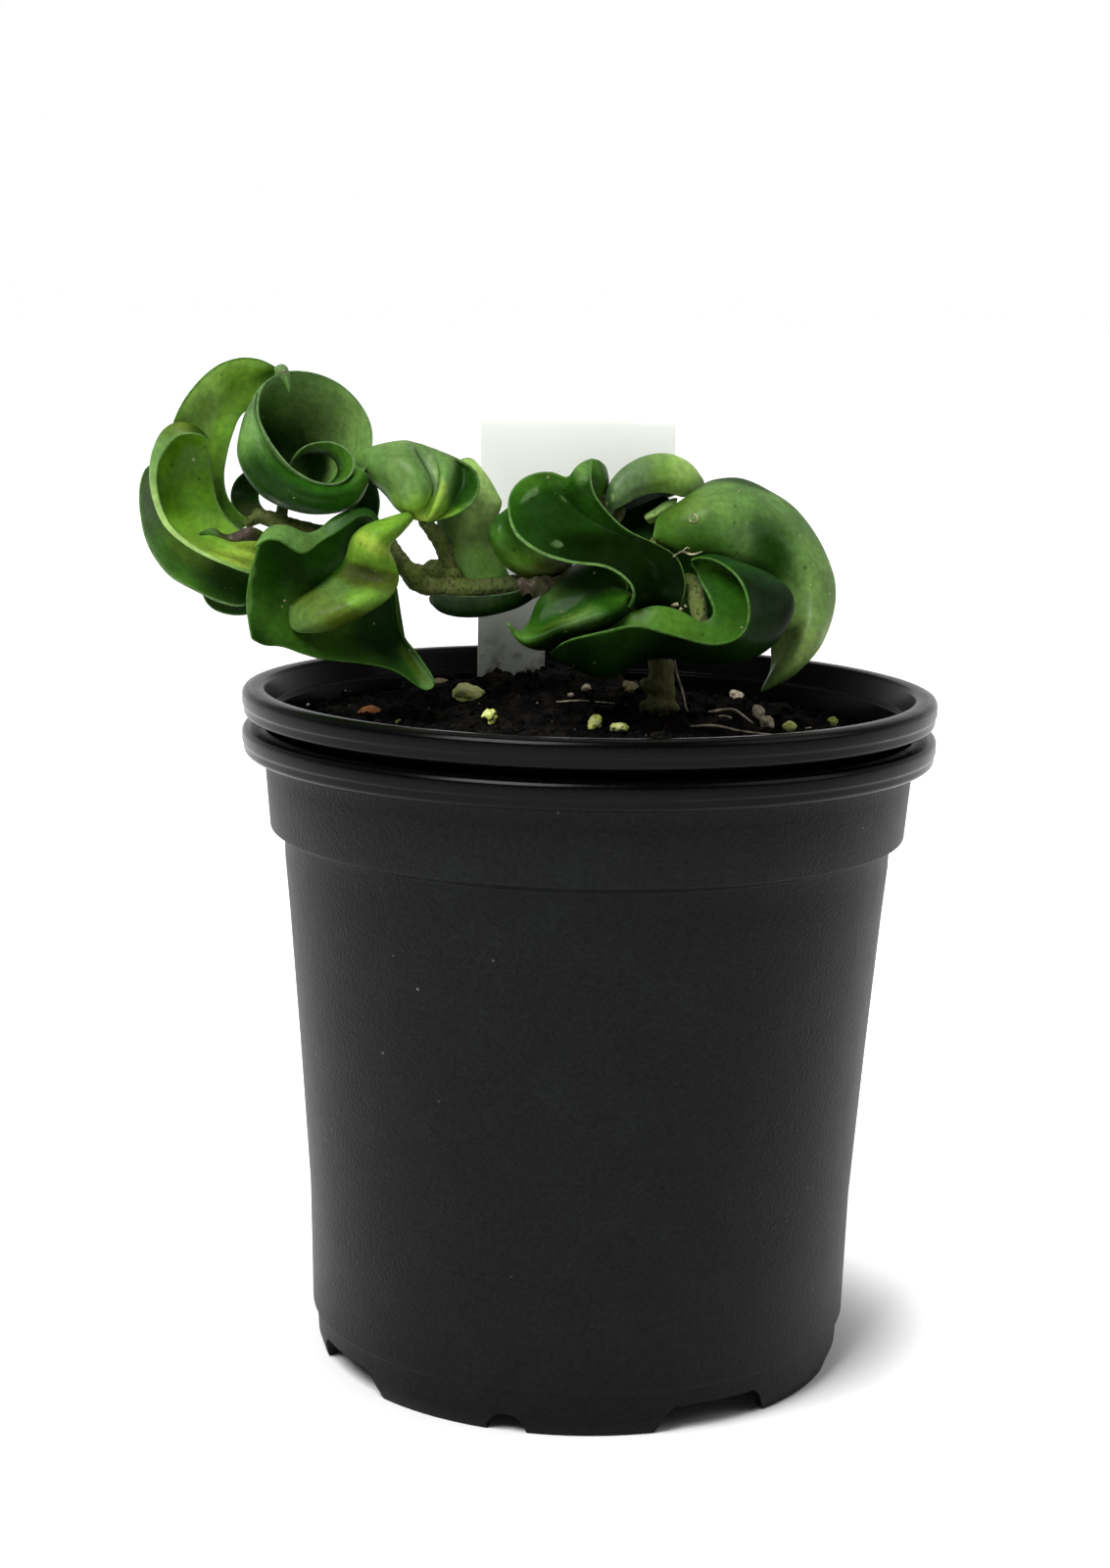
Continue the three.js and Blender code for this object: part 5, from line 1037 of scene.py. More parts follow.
def leaf_face(name, tones, patches, margin, shine, settings):
    """A waxy leaf face: tones along it, soft patches of its own colours and of painted shade, highlights and
    glints, a pale margin that is partly painted highlight, mottling and fine specks.
    """
    paint = Paint(bpy.data.materials.new(name))
    along, across = paint.along_and_across()
    wander = paint.noise(7, 2) - 0.5
    along = along + wander * 0.09
    across = across + wander * 0.12
    tone = {key: tuple(getattr(settings, key)) for key in settings.__annotations__ if key not in PLAIN_LEAF}
    # Tones and patches: the leaf's own colours and, where LEAF_COLOURS sets them, painted shade, highlights
    # and glints
    colour = paint.ramp(along, even_stops([tone[key] for key in tones]))
    for key, at_along, at_across, reach_along, reach_across, strength in patches:
        down = (along - at_along) * (1 / reach_along)
        side = (across - at_across) * (1 / reach_across)
        patch = (down * down + side * side).step(1.0, 0.1)
        colour = paint.mix(patch * strength, colour, tone[key])
    colour = paint.shaded(colour, paint.noise(9, 4, shift=0.3), 0.76, 1.16)
    colour = paint.shaded(colour, paint.noise(1.5, 4, shift=0.7), 0.84, 1.12)
    specks = paint.cells(3.4).step(0.17, 0.1) * paint.noise(6, shift=0.5).step(0.5, 0.62)
    colour = paint.mix(specks * 0.5, colour, tone["shadow"])
    flecks = paint.cells(4.6, shift=0.4).step(0.1, 0.05) * paint.noise(9, shift=0.2).step(0.48, 0.6)
    colour = paint.mix(flecks * 0.55, colour, tone["cork"])
    # The margin tone along the edge: partly the leaf's own margin, partly painted highlight where the rounded
    # edge is paler
    edge = paint.attribute("from_edge")
    colour = paint.mix(edge.step(0.5, 0.1) * 0.3, colour, tone[margin])
    roughness = settings.gloss + paint.noise(6, 3, shift=0.1) * 0.16 + edge.step(1.4, 0.2) * 0.08
    relief = paint.noise(1.3, 2) * 0.6 + paint.noise(0.45, 1) * 0.3 - specks * 0.5
    plain = {"Subsurface Weight": 0.12, "Subsurface Radius": (0.5, 1.0, 0.2), "Subsurface Scale": 0.0022,
             "Specular IOR Level": shine, "Coat Weight": 0.04, "Coat Roughness": 0.12}
    return paint.finish(colour, roughness, paint.bump(relief, 0.12, 0.6), plain)


def leaf_margin(name, tone, settings):
    """The rounded edge of a leaf, a little paler and rougher than its faces; the paler grey is partly painted
    highlight on the rounded edge.
    """
    paint = Paint(bpy.data.materials.new(name))
    body = tuple(getattr(settings, tone))
    colour = paint.mix(paint.noise(2.5, 3).step(0.35, 0.75) * 0.5, body, settings.grey)
    colour = paint.shaded(colour, paint.noise(1.1, 3, shift=0.3), 0.6, 1.1)
    roughness = 0.42 + paint.noise(3) * 0.15
    plain = {"Subsurface Weight": 0.15, "Subsurface Radius": (0.5, 1.0, 0.2), "Subsurface Scale": 0.002,
             "Specular IOR Level": 0.1}
    return paint.finish(colour, roughness, paint.bump(paint.noise(0.8, 2), 0.1, 0.6), plain)


def pot_plastic(name, body, shine, settings):
    """Black moulded plastic: a fine grain on the walls, smoother rims painted darker as shade, faint scuffs
    and a little dust.
    """
    paint = Paint(bpy.data.materials.new(name))
    colour = paint.mix(paint.noise(14, 4).step(0.45, 0.8) * 0.35, body, settings.worn)
    scuffs = paint.noise(1.1, 3, stretch=(1, 1, 0.12), shift=0.2).step(0.62, 0.8)
    scuffs = scuffs * paint.noise(22, 2).step(0.52, 0.7)
    colour = paint.mix(scuffs * 0.5, colour, settings.worn)
    flecks = paint.cells(7, shift=0.3).step(0.055, 0.03) * paint.noise(17, shift=0.6).step(0.52, 0.6)
    colour = paint.mix(flecks * 0.6, colour, settings.dust)
    height = paint.height()
    splash = height.step(147, 158) * height.step(161.5, 159) * paint.noise(2.6, 5, shift=0.5).step(0.66, 0.74)
    colour = paint.mix(splash * 0.2, colour, settings.dust)
    # Painted shade: above the wall the rims are mixed most of the way to the dark tone of the inner walls
    wall = height.step(147.6, 146.6)
    colour = paint.mix(0.9 - wall * 0.9, colour, settings.lining)
    colour = paint.shaded(colour, paint.noise(0.9, 3, shift=0.4), 0.6, 1.5)
    roughness = 0.2 + wall * 0.2 + paint.noise(5, 4) * 0.08 + scuffs * 0.08 + flecks * 0.3 + splash * 0.2
    relief = paint.noise(0.8, 2) * (0.3 + wall * 2.4) + paint.noise(11, 2, stretch=(1, 1, 0.5)) * 1.2
    return paint.finish(colour, roughness, paint.bump(relief, 0.12, 0.55), {"Specular IOR Level": shine})


def soil_crumb(settings):
    """Moist peat with dry crumbs, fibres and pale grains."""
    paint = Paint(bpy.data.materials.new("Potting soil"))
    patches = paint.noise(6, 5)
    colour = paint.ramp(patches, [(0.3, settings.dark), (0.46, settings.dark),
                                  (0.68, settings.light)])
    grains = paint.noise(0.9, 3, shift=0.3).step(0.52, 0.7)
    colour = paint.mix(grains * 0.65, colour, settings.light)
    fibres = paint.noise(1.0, 2, stretch=(1, 0.15, 0.4), shift=0.6).step(0.66, 0.74)
    colour = paint.mix(fibres * 0.05, colour, settings.bark)
    flecks = paint.cells(3.1, shift=0.1).step(0.12, 0.07) * paint.noise(5, shift=0.8).step(0.5, 0.62)
    colour = paint.mix(flecks * 0.6, colour, settings.stone)
    roughness = 0.72 + paint.noise(2.5) * 0.3
    relief = paint.noise(1.2, 5) + paint.noise(0.4, 2) * 0.5
    return paint.finish(colour, roughness, paint.bump(relief, 0.9, 1.0), {"Specular IOR Level": 0.04})


def mineral(name, base, second, pit):
    """A small granule: two tones, darker pits and a chalky skin."""
    paint = Paint(bpy.data.materials.new(name))
    colour = paint.mix(paint.noise(1.6, 4).step(0.35, 0.7), base, second)
    pits = paint.cells(0.9).step(0.3, 0.1) * paint.noise(2, shift=0.4).step(0.45, 0.6)
    colour = paint.mix(pits * 0.7, colour, pit)
    roughness = 0.6 + paint.noise(1.0) * 0.3
    relief = paint.noise(0.8, 4) - pits
    return paint.finish(colour, roughness, paint.bump(relief, 0.35, 0.8))


def bark_skin(settings):
    """Olive brown bark with corky patches and dark cracks, painted shade under the leaves, and darker towards
    the soil.
    """
    paint = Paint(bpy.data.materials.new("Bark"))
    colour = paint.mix(paint.noise(7, 3).step(0.35, 0.65), settings.bark, settings.green_bark)
    colour = paint.mix(paint.noise(3, 4, shift=0.4).step(0.52, 0.74) * 0.5, colour, settings.pale_bark)
    cracks = paint.noise(1.1, 4, stretch=(1.6, 1, 1), shift=0.8).step(0.55, 0.7)
    colour = paint.mix(cracks * 0.75, colour, settings.dark_bark)
    height = paint.height()
    trunk = height.step(180, 168)
    # Painted shade on the stretch of vine that lies under the leaves
    east = paint.place_part(0) - POT_AXIS.x
    shade = east.step(-0.034, -0.018) * east.step(0.009, 0.001)
    fibres = paint.noise(1.0, 3, stretch=(1, 1, 0.1), shift=0.2).step(0.42, 0.66) * trunk
    colour = paint.mix(trunk * 0.4, colour, settings.pale_bark)
    colour = paint.mix(fibres * 0.75, colour, settings.pale_bark)
    warts = paint.cells(2.1).step(0.22, 0.1)
    colour = paint.mix(warts * 0.4, colour, settings.pale_bark)
    # Painted shade under the leaves, then darker towards the soil
    colour = paint.mix(shade * 0.55, colour, settings.shade_bark)
    colour = paint.mix(height.step(160, 157) * 0.4, colour, settings.shade_bark)
    roughness = 0.62 + paint.noise(2) * 0.25
    relief = paint.noise(1.4, 4) - cracks * 0.7 + warts * 0.4 + fibres
    return paint.finish(colour, roughness, paint.bump(relief, 0.4, 0.9), {"Specular IOR Level": 0.2})


def tag_sheet(settings):
    """White plastic sheet, marked by the soil near its foot, with painted shade over its lower part."""
    paint = Paint(bpy.data.materials.new("Tag plastic"))
    height = paint.height()
    stain = height.step(176, 158) * paint.noise(4, 5).step(0.42, 0.66)
    # Painted shade: the tag is darkened from 194 mm down, where the leaves shade it
    painted_shade = height.step(194, 178)
    cloud = paint.noise(25, 2).step(0.3, 0.8)
    colour = paint.mix(cloud * 0.03, settings.plastic, settings.stain)
    colour = paint.mix(stain * 0.35 + painted_shade * 0.7, colour, settings.stain)
    flecks = paint.cells(5).step(0.07, 0.03) * paint.noise(8, shift=0.3).step(0.5, 0.6)
    colour = paint.mix(flecks * 0.6, colour, settings.stain)
    roughness = 0.38 + paint.noise(7, 3) * 0.12 + stain * 0.2
    return paint.finish(colour, roughness, paint.bump(paint.noise(6, 2), 0.05, 0.4))


def pale_floor(settings):
    """Seamless pale paper with a barely visible grain; it glows a little as painted light, fading out beside
    the pot so that the shade under it stays.
    """
    paint = Paint(bpy.data.materials.new("Pale floor"))
    shade = tuple(part * 0.97 for part in settings.floor[:3]) + (1.0,)
    colour = paint.mix(paint.noise(60, 3) * 0.5, settings.floor, shade)
    east, north = (paint.place_part(k) - centre for k, centre in enumerate(POT_AXIS[:2]))
    away = east * east + north * north
    # Painted light: the floor glows, not at all beside the pot, by the glow share a little way off and fully
    # far away
    near = away.step(0.0036, 0.0105) * settings.glow
    far = away.step(0.2, 3.0) * (1 - settings.glow)
    glow = paint.mix(near + far, (0.0, 0.0, 0.0, 1.0), settings.floor)
    plain = {"Emission Color": glow, "Emission Strength": 1.0, "Specular IOR Level": 0.1}
    return paint.finish(colour, 0.7 + paint.noise(30) * 0.1, paint.bump(paint.noise(1.5), 0.03, 0.3), plain)


# Meshes
def piece_from(bm, name, materials, nodes):
    """A finished piece from a bmesh in metres: it rides on the body and stands for its nodes."""
    mesh = bpy.data.meshes.new(name)
    bm.to_mesh(mesh)
    bm.free()
    for material in materials:
        mesh.materials.append(material)
    piece = bpy.data.objects.new(name, mesh)
    bpy.context.scene.collection.objects.link(piece)
    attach(piece, BODY)
    if nodes:
        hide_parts(*nodes)
    return piece


def smooth_faces(bm, sharp_angle=180):
    """Smooth shading, apart from edges that are sharper than the angle in degrees."""
    for face in bm.faces:
        face.smooth = True
    limit = math.radians(sharp_angle)
    for edge in bm.edges:
        if len(edge.link_faces) == 2 and edge.calc_face_angle(0) > limit:
            edge.smooth = False


def applied_mesh(piece):
    """The piece's mesh with its modifiers applied, as a bmesh."""
    view = bpy.context.evaluated_depsgraph_get()
    bm = bmesh.new()
    bm.from_object(piece, view)
    return bm


def scratch_object(bm, name):
    """An object that only lends its mesh to another and is then dropped."""
    mesh = bpy.data.meshes.new(name)
    bm.to_mesh(mesh)
    bm.free()
    helper = bpy.data.objects.new(name, mesh)
    bpy.context.scene.collection.objects.link(helper)
    return helper


def drop(helper):
    """Removes a scratch object."""
    bpy.data.objects.remove(helper)


def add_tube(bm, points, radii, sides=8, step=1.0):
    """A round tube through points in millimetres, its radius changing along them; ends are closed."""
    length = sum((b - a).length for a, b in zip(points, points[1:]))
    count = max(int(length / step), 4)
    line = bpy.data.curves.new("run", "CURVE")
    line.dimensions = "3D"
    line.bevel_depth = 1.0
    line.bevel_resolution = max(sides // 4 - 1, 0)
    line.use_fill_caps = True
    spline = line.splines.new("POLY")
    spline.points.add(count)
    for k in range(count + 1):
        share = k / count
        radius = curve_point([Vector((r, 0, 0)) for r in radii], share).x if len(radii) > 1 else radii[0]
        spline.points[k].co = (*placed(curve_point(points, share)), 1)
        spline.points[k].radius = radius * MM
    helper = bpy.data.objects.new("run", line)
    bpy.context.scene.collection.objects.link(helper)
    bpy.context.view_layer.update()
    mesh = bpy.data.meshes.new_from_object(helper.evaluated_get(bpy.context.evaluated_depsgraph_get()))
    bm.from_mesh(mesh)
    drop(helper)
    bpy.data.meshes.remove(mesh)


def add_lump(bm, centre, size, flatness, rough, seed, detail=3, material=0):
    """An irregular granule at a place in millimetres; size is its half width."""
    made = bmesh.ops.create_icosphere(bm, subdivisions=detail, radius=1.0)["verts"]
    shift = Vector((seed * 3.7, seed * 1.9, seed * 5.3))
    for vert in made:
        coarse, fine = (noise.noise(vert.co * scale + shift) for scale in (1.1, 2.9))
        swell = 1 + rough * coarse + rough * 0.5 * fine
        vert.co = vert.co * swell
    turn = Matrix.Rotation(seed * 2.4, 3, "Z") @ Matrix.Rotation(0.5 * math.sin(seed * 7), 3, "X")
    for vert in made:
        shape = Vector((vert.co.x, vert.co.y * 0.82, vert.co.z * flatness))
        vert.co = placed(Vector(centre) + (turn @ shape) * size)
    for face in {face for vert in made for face in vert.link_faces}:
        face.material_index = material
    return made


# Pots
def add_block(bm, outline, angle, lift):
    """A block across the foot wall, its outline given as (across, up) from the notch's middle."""
    verts = [bm.verts.new((FOOT_RADIUS - CUTTER_DEPTH / 2, across, up + lift)) for across, up in outline]
    face = bm.faces.new(verts)
    made = bmesh.ops.extrude_face_region(bm, geom=[face])["geom"]
    pushed = [item for item in made if isinstance(item, bmesh.types.BMVert)]
    bmesh.ops.translate(bm, verts=pushed, vec=(CUTTER_DEPTH, 0, 0))
    turn = Matrix.Rotation(math.radians(angle), 3, "Z")
    bmesh.ops.rotate(bm, verts=verts + pushed, cent=(0, 0, 0), matrix=turn)
    bmesh.ops.scale(bm, verts=verts + pushed, vec=(MM, MM, MM))
    bmesh.ops.translate(bm, verts=verts + pushed, vec=POT_AXIS)


def foot_cutters(lift):
    """Everything that is cut from a pot's foot: four large and four small notches and four drains."""
    bm = bmesh.new()
    half, top = LARGE_NOTCH["width"] / 2, LARGE_NOTCH["top"] / 2
    height = LARGE_NOTCH["height"]
    shoulder, flat = top + 0.4, top - NOTCH_CORNER
    large = [(-half, -1), (half, -1), (shoulder, height - NOTCH_CORNER), (flat, height),
             (-flat, height), (-shoulder, height - NOTCH_CORNER)]
    half = SMALL_NOTCH["width"] / 2
    turns = [math.pi * k / 12 for k in range(13)]
    small = [(-half, -1), (half, -1)]
    small += [(half * math.cos(turn), SMALL_NOTCH["height"] * math.sin(turn)) for turn in turns]
    for quarter in range(4):
        turn = 90 * quarter
        add_block(bm, large, LARGE_NOTCH["angle"] + turn, lift)
        add_block(bm, small, SMALL_NOTCH["angle"] + turn, lift)
        around = math.radians(LARGE_NOTCH["angle"] + turn)
        distance, radius = DRAIN["distance"], DRAIN["radius"] * MM
        centre = Vector((distance * math.cos(around), distance * math.sin(around), DRAIN["height"] + lift))
        drain = bmesh.ops.create_cone(bm, cap_ends=True, segments=24, radius1=radius, radius2=radius,
                                      depth=DRAIN["depth"] * MM)["verts"]
        bmesh.ops.translate(bm, verts=drain, vec=placed(centre))
    bmesh.ops.recalc_face_normals(bm, faces=bm.faces[:])
    return scratch_object(bm, "foot cutters")


# Edges of a pot that get rounded, edges that stay crisp in the shading, and where the inner walls painted in
# shade begin
ROUNDED_EDGE = 28
CRISP_EDGE = 32
LINING_FROM = 0.13


def make_pot(name, section, lift, materials, settings):
    """A pot turned from its section, with rounded edges and a notched foot."""
    bm = bmesh.new()
    verts = [bm.verts.new(placed((radius, 0, height))) for radius, height in section]
    edges = [bm.edges.new(pair) for pair in zip(verts, verts[1:])]
    bmesh.ops.spin(bm, geom=verts + edges, cent=POT_AXIS, axis=(0, 0, 1), angle=2 * math.pi,
                   steps=settings.steps, use_merge=True, use_duplicate=False, dvec=(0, 0, 0))
    bmesh.ops.remove_doubles(bm, verts=bm.verts[:], dist=0.00001)
    bmesh.ops.recalc_face_normals(bm, faces=bm.faces[:])
    sharp = [edge for edge in bm.edges if edge.calc_face_angle(0) > math.radians(ROUNDED_EDGE)]
    bmesh.ops.bevel(bm, geom=sharp, offset=settings.edge, offset_type="OFFSET", segments=2, profile=0.5,
                    affect="EDGES", clamp_overlap=True, material=-1)
    blank = scratch_object(bm, name + " blank")
    cutters = foot_cutters(lift)
    cut = blank.modifiers.new("Notches", "BOOLEAN")
    cut.operation = "DIFFERENCE"
    cut.solver = "EXACT"
    cut.object = cutters
    bpy.context.view_layer.update()
    bm = applied_mesh(blank)
    drop(blank)
    drop(cutters)
    smooth_faces(bm, CRISP_EDGE)
    # Faces inside the rim take the second material, the plastic painted darker as shade
    for face in bm.faces:
        middle = face.calc_center_median() - POT_AXIS
        if middle.z > LINING_FROM and face.normal.x * middle.x + face.normal.y * middle.y < 0:
            face.material_index = 1
    return piece_from(bm, name, materials, [name])


# Soil
def crumbly(x, y):
    """Loose relief on the soil at a place in millimetres."""
    place = Vector((x, y, 0))
    clods = noise.noise(place * 0.16) * 1.3 + noise.noise(place * 0.42 + Vector((9, 4, 1))) * 0.9
    crumbs = noise.noise(place * 1.1 + Vector((2, 7, 3))) * 0.45
    return clods + crumbs


def make_soil(settings):
    """The plug of soil: a crumbly top over plain sides that fill the inner pot."""
    bm = bmesh.new()
    half = SOIL_RADIUS + 1
    cells = int(2 * half * MM / settings.cell)
    bmesh.ops.create_grid(bm, x_segments=cells, y_segments=cells, size=half)
    outside = [vert for vert in bm.verts if vert.co.xy.length > SOIL_RADIUS - 0.35]
    bmesh.ops.delete(bm, geom=outside, context="VERTS")
    for vert in bm.verts:
        distance = vert.co.xy.length
        if vert.is_boundary:
            vert.co.xy = vert.co.xy * (SOIL_RADIUS / distance)
        calm = smooth_step(SOIL_RADIUS, SOIL_RADIUS - 4, distance)
        lowered = 1.5 * (1 - smooth_step(SOIL_RADIUS, SOIL_RADIUS - 9, distance))
        vert.co.z = soil_height(vert.co.x, vert.co.y) + crumbly(vert.co.x, vert.co.y) * calm - lowered
    rim = [edge for edge in bm.edges if edge.is_boundary]
    for radius, height in SOIL_SIDE:
        made = bmesh.ops.extrude_edge_only(bm, edges=rim)["geom"]
        rim = [item for item in made if isinstance(item, bmesh.types.BMEdge) and item.is_boundary]
        for vert in {vert for edge in rim for vert in edge.verts}:
            vert.co.xy = vert.co.xy * (radius / vert.co.xy.length)
            vert.co.z = height
    bmesh.ops.holes_fill(bm, edges=rim, sides=0)
    bmesh.ops.recalc_face_normals(bm, faces=bm.faces[:])
    bmesh.ops.scale(bm, verts=bm.verts[:], vec=(MM, MM, MM))
    bmesh.ops.translate(bm, verts=bm.verts[:], vec=POT_AXIS)
    smooth_faces(bm)
    return piece_from(bm, "soil_top", [soil_crumb(settings)], ["soil"])


def make_crumbs(settings, soil):
    """Loose crumbs of peat scattered over the soil."""
    chance = random.Random(7)
    bm = bmesh.new()
    for k in range(settings.crumbs):
        turn = chance.uniform(0, 2 * math.pi)
        radius = (SOIL_RADIUS - 2.5) * math.sqrt(chance.random())
        x, y = radius * math.cos(turn), radius * math.sin(turn)
        size = 0.35 + 1.25 * chance.random() ** 3
        height = soil_height(x, y) + crumbly(x, y) + size * 0.25
        made = bmesh.ops.create_icosphere(bm, subdivisions=1, radius=size)["verts"]
        tilt = Matrix.Rotation(chance.uniform(0, 6), 3, "Z") @ Matrix.Rotation(chance.uniform(-1, 1), 3, "X")
        squash = Vector((1, chance.uniform(0.55, 1), chance.uniform(0.45, 0.9)))
        for vert in made:
            uneven = vert.co * (1 + 0.3 * noise.noise(vert.co * 2 + Vector((k, 0, 0))))
            vert.co = placed(Vector((x, y, height)) + tilt @ Vector(a * b for a, b in zip(uneven, squash)))
    bmesh.ops.recalc_face_normals(bm, faces=bm.faces[:])
    smooth_faces(bm, 50)
    return piece_from(bm, "soil_crumbs", [soil.data.materials[0]], [])


# Granules in the soil as (x, y, half width, flatness, unevenness, kind)
GRANULES = [
    (-29.7, 23.1, 4.1, 0.68, 0.35, "pale_feed"), (-23.7, -1, 2.4, 0.75, 0.4, "feed"),
    (1.1, -6.5, 1.9, 1.1, 0.5, "feed"), (7.1, -10, 2.1, 0.6, 0.3, "feed"),
    (48.7, 9.6, 1.9, 0.7, 0.3, "feed"), (60.4, 22.1, 1.8, 0.7, 0.3, "feed"),
    (-45.9, 6.3, 1.1, 0.7, 0.4, "feed"), (-12.3, 48.8, 1.5, 0.9, 0.5, "stone"),
    (-53, 12.8, 4.2, 0.42, 0.35, "bark"), (10.3, 22.3, 2.6, 0.8, 0.3, "olive"),
    (39.1, 58.5, 2.0, 0.7, 0.5, "stone"), (42.1, 22, 1.5, 1.3, 0.25, "stone"),
    (43.2, 7.1, 1.6, 1.1, 0.35, "stone"), (-70.4, 26.8, 1.1, 0.5, 0.4, "white"),
    (-71.4, 31, 1.5, 0.4, 0.3, "white"), (-0.6, 22.1, 1.2, 0.8, 0.4, "stone"),
    (-4.5, 16.3, 0.9, 0.8, 0.4, "stone"), (54, 14, 1.1, 0.6, 0.3, "stone"),
    (-20, 55, 1.4, 0.8, 0.4, "feed"), (18, 60, 1.9, 0.7, 0.4, "feed"), (-55, -30, 1.7, 0.7, 0.4, "feed"),
    (25, -50, 2.0, 0.8, 0.4, "feed"), (-12, -58, 1.5, 0.8, 0.4, "stone"), (55, -28, 2.2, 0.5, 0.4, "bark"),
    (-38, 52, 2.4, 0.5, 0.4, "olive"), (-35, -42, 2.8, 0.5, 0.4, "olive"), (40, -38, 1.4, 0.8, 0.4, "stone"),
]
GRANULE_KINDS = ("feed", "bark", "stone", "olive", "white", "pale_feed")


def make_granules(settings):
    """Feed prills, bark chips and grit lying in the soil."""
    cork, peat = screen_colour("6b5f3c"), settings.dark
    white = screen_colour("d9dcd8")
    tones = {
        "feed": (settings.feed, screen_colour("dfe29a"), screen_colour("7d8c26")),
        "bark": (settings.bark, screen_colour("7a431a"), peat),
        "stone": (settings.stone, screen_colour("c9bfa6"), cork),
        "olive": (cork, screen_colour("4b4429"), peat),
        "white": (white, screen_colour("a9aca9"), screen_colour("7d8080")),
        "pale_feed": (screen_colour("e0e3a0"), settings.feed, screen_colour("a3a85c")),
    }
    materials = [mineral("Granule " + kind, *tones[kind]) for kind in GRANULE_KINDS]
    bm = bmesh.new()
    for k, (x, y, size, flatness, rough, kind) in enumerate(GRANULES):
        height = soil_height(x, y) + crumbly(x, y) + size * flatness * 0.45
        add_lump(bm, (x, y, height), size, flatness, rough, k + 1, 4, GRANULE_KINDS.index(kind))
    bmesh.ops.recalc_face_normals(bm, faces=bm.faces[:])
    smooth_faces(bm)
    return piece_from(bm, "soil_granules", materials, [])


# Fine roots as runs of (x, y, height above the soil), in millimetres
ROOTS = [
    (0.32, [(20.2, 7, 13), (20.8, 6, 9), (22.6, 5.4, 4), (23.6, 4.8, 0.3), (25.4, 4.6, -0.8)]),
    (0.36, [(28, 20, -0.5), (31, 23, 1.2), (35.9, 26, 1.4), (38.2, 18.5, 1.3), (39.4, 10, 1.0),
            (42, 2.4, 0.4)]),
    (0.26, [(30.5, 21, 0.2), (34, 17, 0.9), (37, 14, 0.5), (40, 15, -0.4)]),
    (0.3, [(24, -2, 0), (30, -4.6, 0.9), (36, -5, 1.0), (44, -2, 0.6), (50, 2, -0.3)]),
    (0.22, [(-62.6, 52, 4), (-62.2, 50, 2), (-63.4, 46, 0.5), (-64.6, 42, -0.4)]),
    (0.24, [(-8, 12, -0.2), (-3, 8, 0.8), (3, 9, 0.6), (9, 6, -0.2)]),
    (0.25, [(-44, -20, -0.2), (-38, -24, 1), (-31, -23, 0.8), (-26, -28, -0.2)]),
    (0.3, [(6, -34, -0.2), (13, -38, 1), (21, -37, 0.7), (27, -43, -0.2)]),
    (0.22, [(-30, 60, -0.2), (-24, 63, 0.9), (-16, 61, 0.5), (-12, 65, -0.2)]),
]


def make_roots(settings):
    """Fine pale roots that lie over the soil."""
    paint = Paint(bpy.data.materials.new("Fine root"))
    dark = screen_colour("6d6250")
    colour = paint.mix(paint.noise(2.2, 3).step(0.35, 0.7), settings.root, dark)
    material = paint.finish(colour, 0.6 + paint.noise(1) * 0.2, paint.bump(paint.noise(0.5, 2), 0.08, 0.7))
    bm = bmesh.new()
    for radius, run in ROOTS:
        points = [Vector((x, y, soil_height(x, y) + crumbly(x, y) * 0.6 + lift)) for x, y, lift in run]
        add_tube(bm, points, (radius, radius * 1.1, radius * 0.7, radius * 0.35), 8, 0.7)
    smooth_faces(bm)
    return piece_from(bm, "soil_roots", [material], [])


# Tag
def tag_outline():
    """The tag's outline as (across, up): a panel with rounded corners that narrows to its stake."""
    left, right, top, foot = TAG["left"], TAG["right"], TAG["top"], TAG["foot"]
    stake = left + TAG["stake"]
    outline = [(left, foot), (left + TAG["stake"] * 0.45, foot - 6), (stake, foot + 4), (stake, 172)]
    outline += arc((stake, 172), (stake + 2, 181), (right - 14, 184))
    outline += arc((right - 14, 184), (right - 2, 186), (right, 194))
    outline += [(right, top - 2)]
    outline += arc((right, top - 2), (right, top), (right - 2, top))
    outline += [(left + 2, top)]
    outline += arc((left + 2, top), (left, top), (left, top - 2))
    return outline


def arc(start, corner, end, steps=8):
    """The points after start on the rounded corner from start to end."""
    found = []
    points = (start, corner, end)
    for k in range(1, steps + 1):
        t = k / steps
        weights = ((1 - t) ** 2, 2 * t * (1 - t), t ** 2)
        found.append(tuple(sum(w * p[axis] for w, p in zip(weights, points)) for axis in (0, 1)))
    return found


def make_tag(settings):
    """The bare tag: one flat sheet with softened edges."""
    bm = bmesh.new()
    half = settings.thickness / MM / 2
    verts = [bm.verts.new(placed((across, TAG["depth"] - half, up))) for across, up in tag_outline()]
    face = bm.faces.new(verts)
    made = bmesh.ops.extrude_face_region(bm, geom=[face])["geom"]
    pushed = [item for item in made if isinstance(item, bmesh.types.BMVert)]
    bmesh.ops.translate(bm, verts=pushed, vec=(0, settings.thickness, 0))
    bmesh.ops.recalc_face_normals(bm, faces=bm.faces[:])
    sharp = [edge for edge in bm.edges if edge.calc_face_angle(0) > math.radians(60)]
    bmesh.ops.bevel(bm, geom=sharp, offset=settings.thickness * 0.25, offset_type="OFFSET", segments=2,
                    profile=0.5, affect="EDGES", clamp_overlap=True, material=-1)
    smooth_faces(bm, 30)
    return piece_from(bm, "plant_tag", [tag_sheet(settings)], ["tag"])


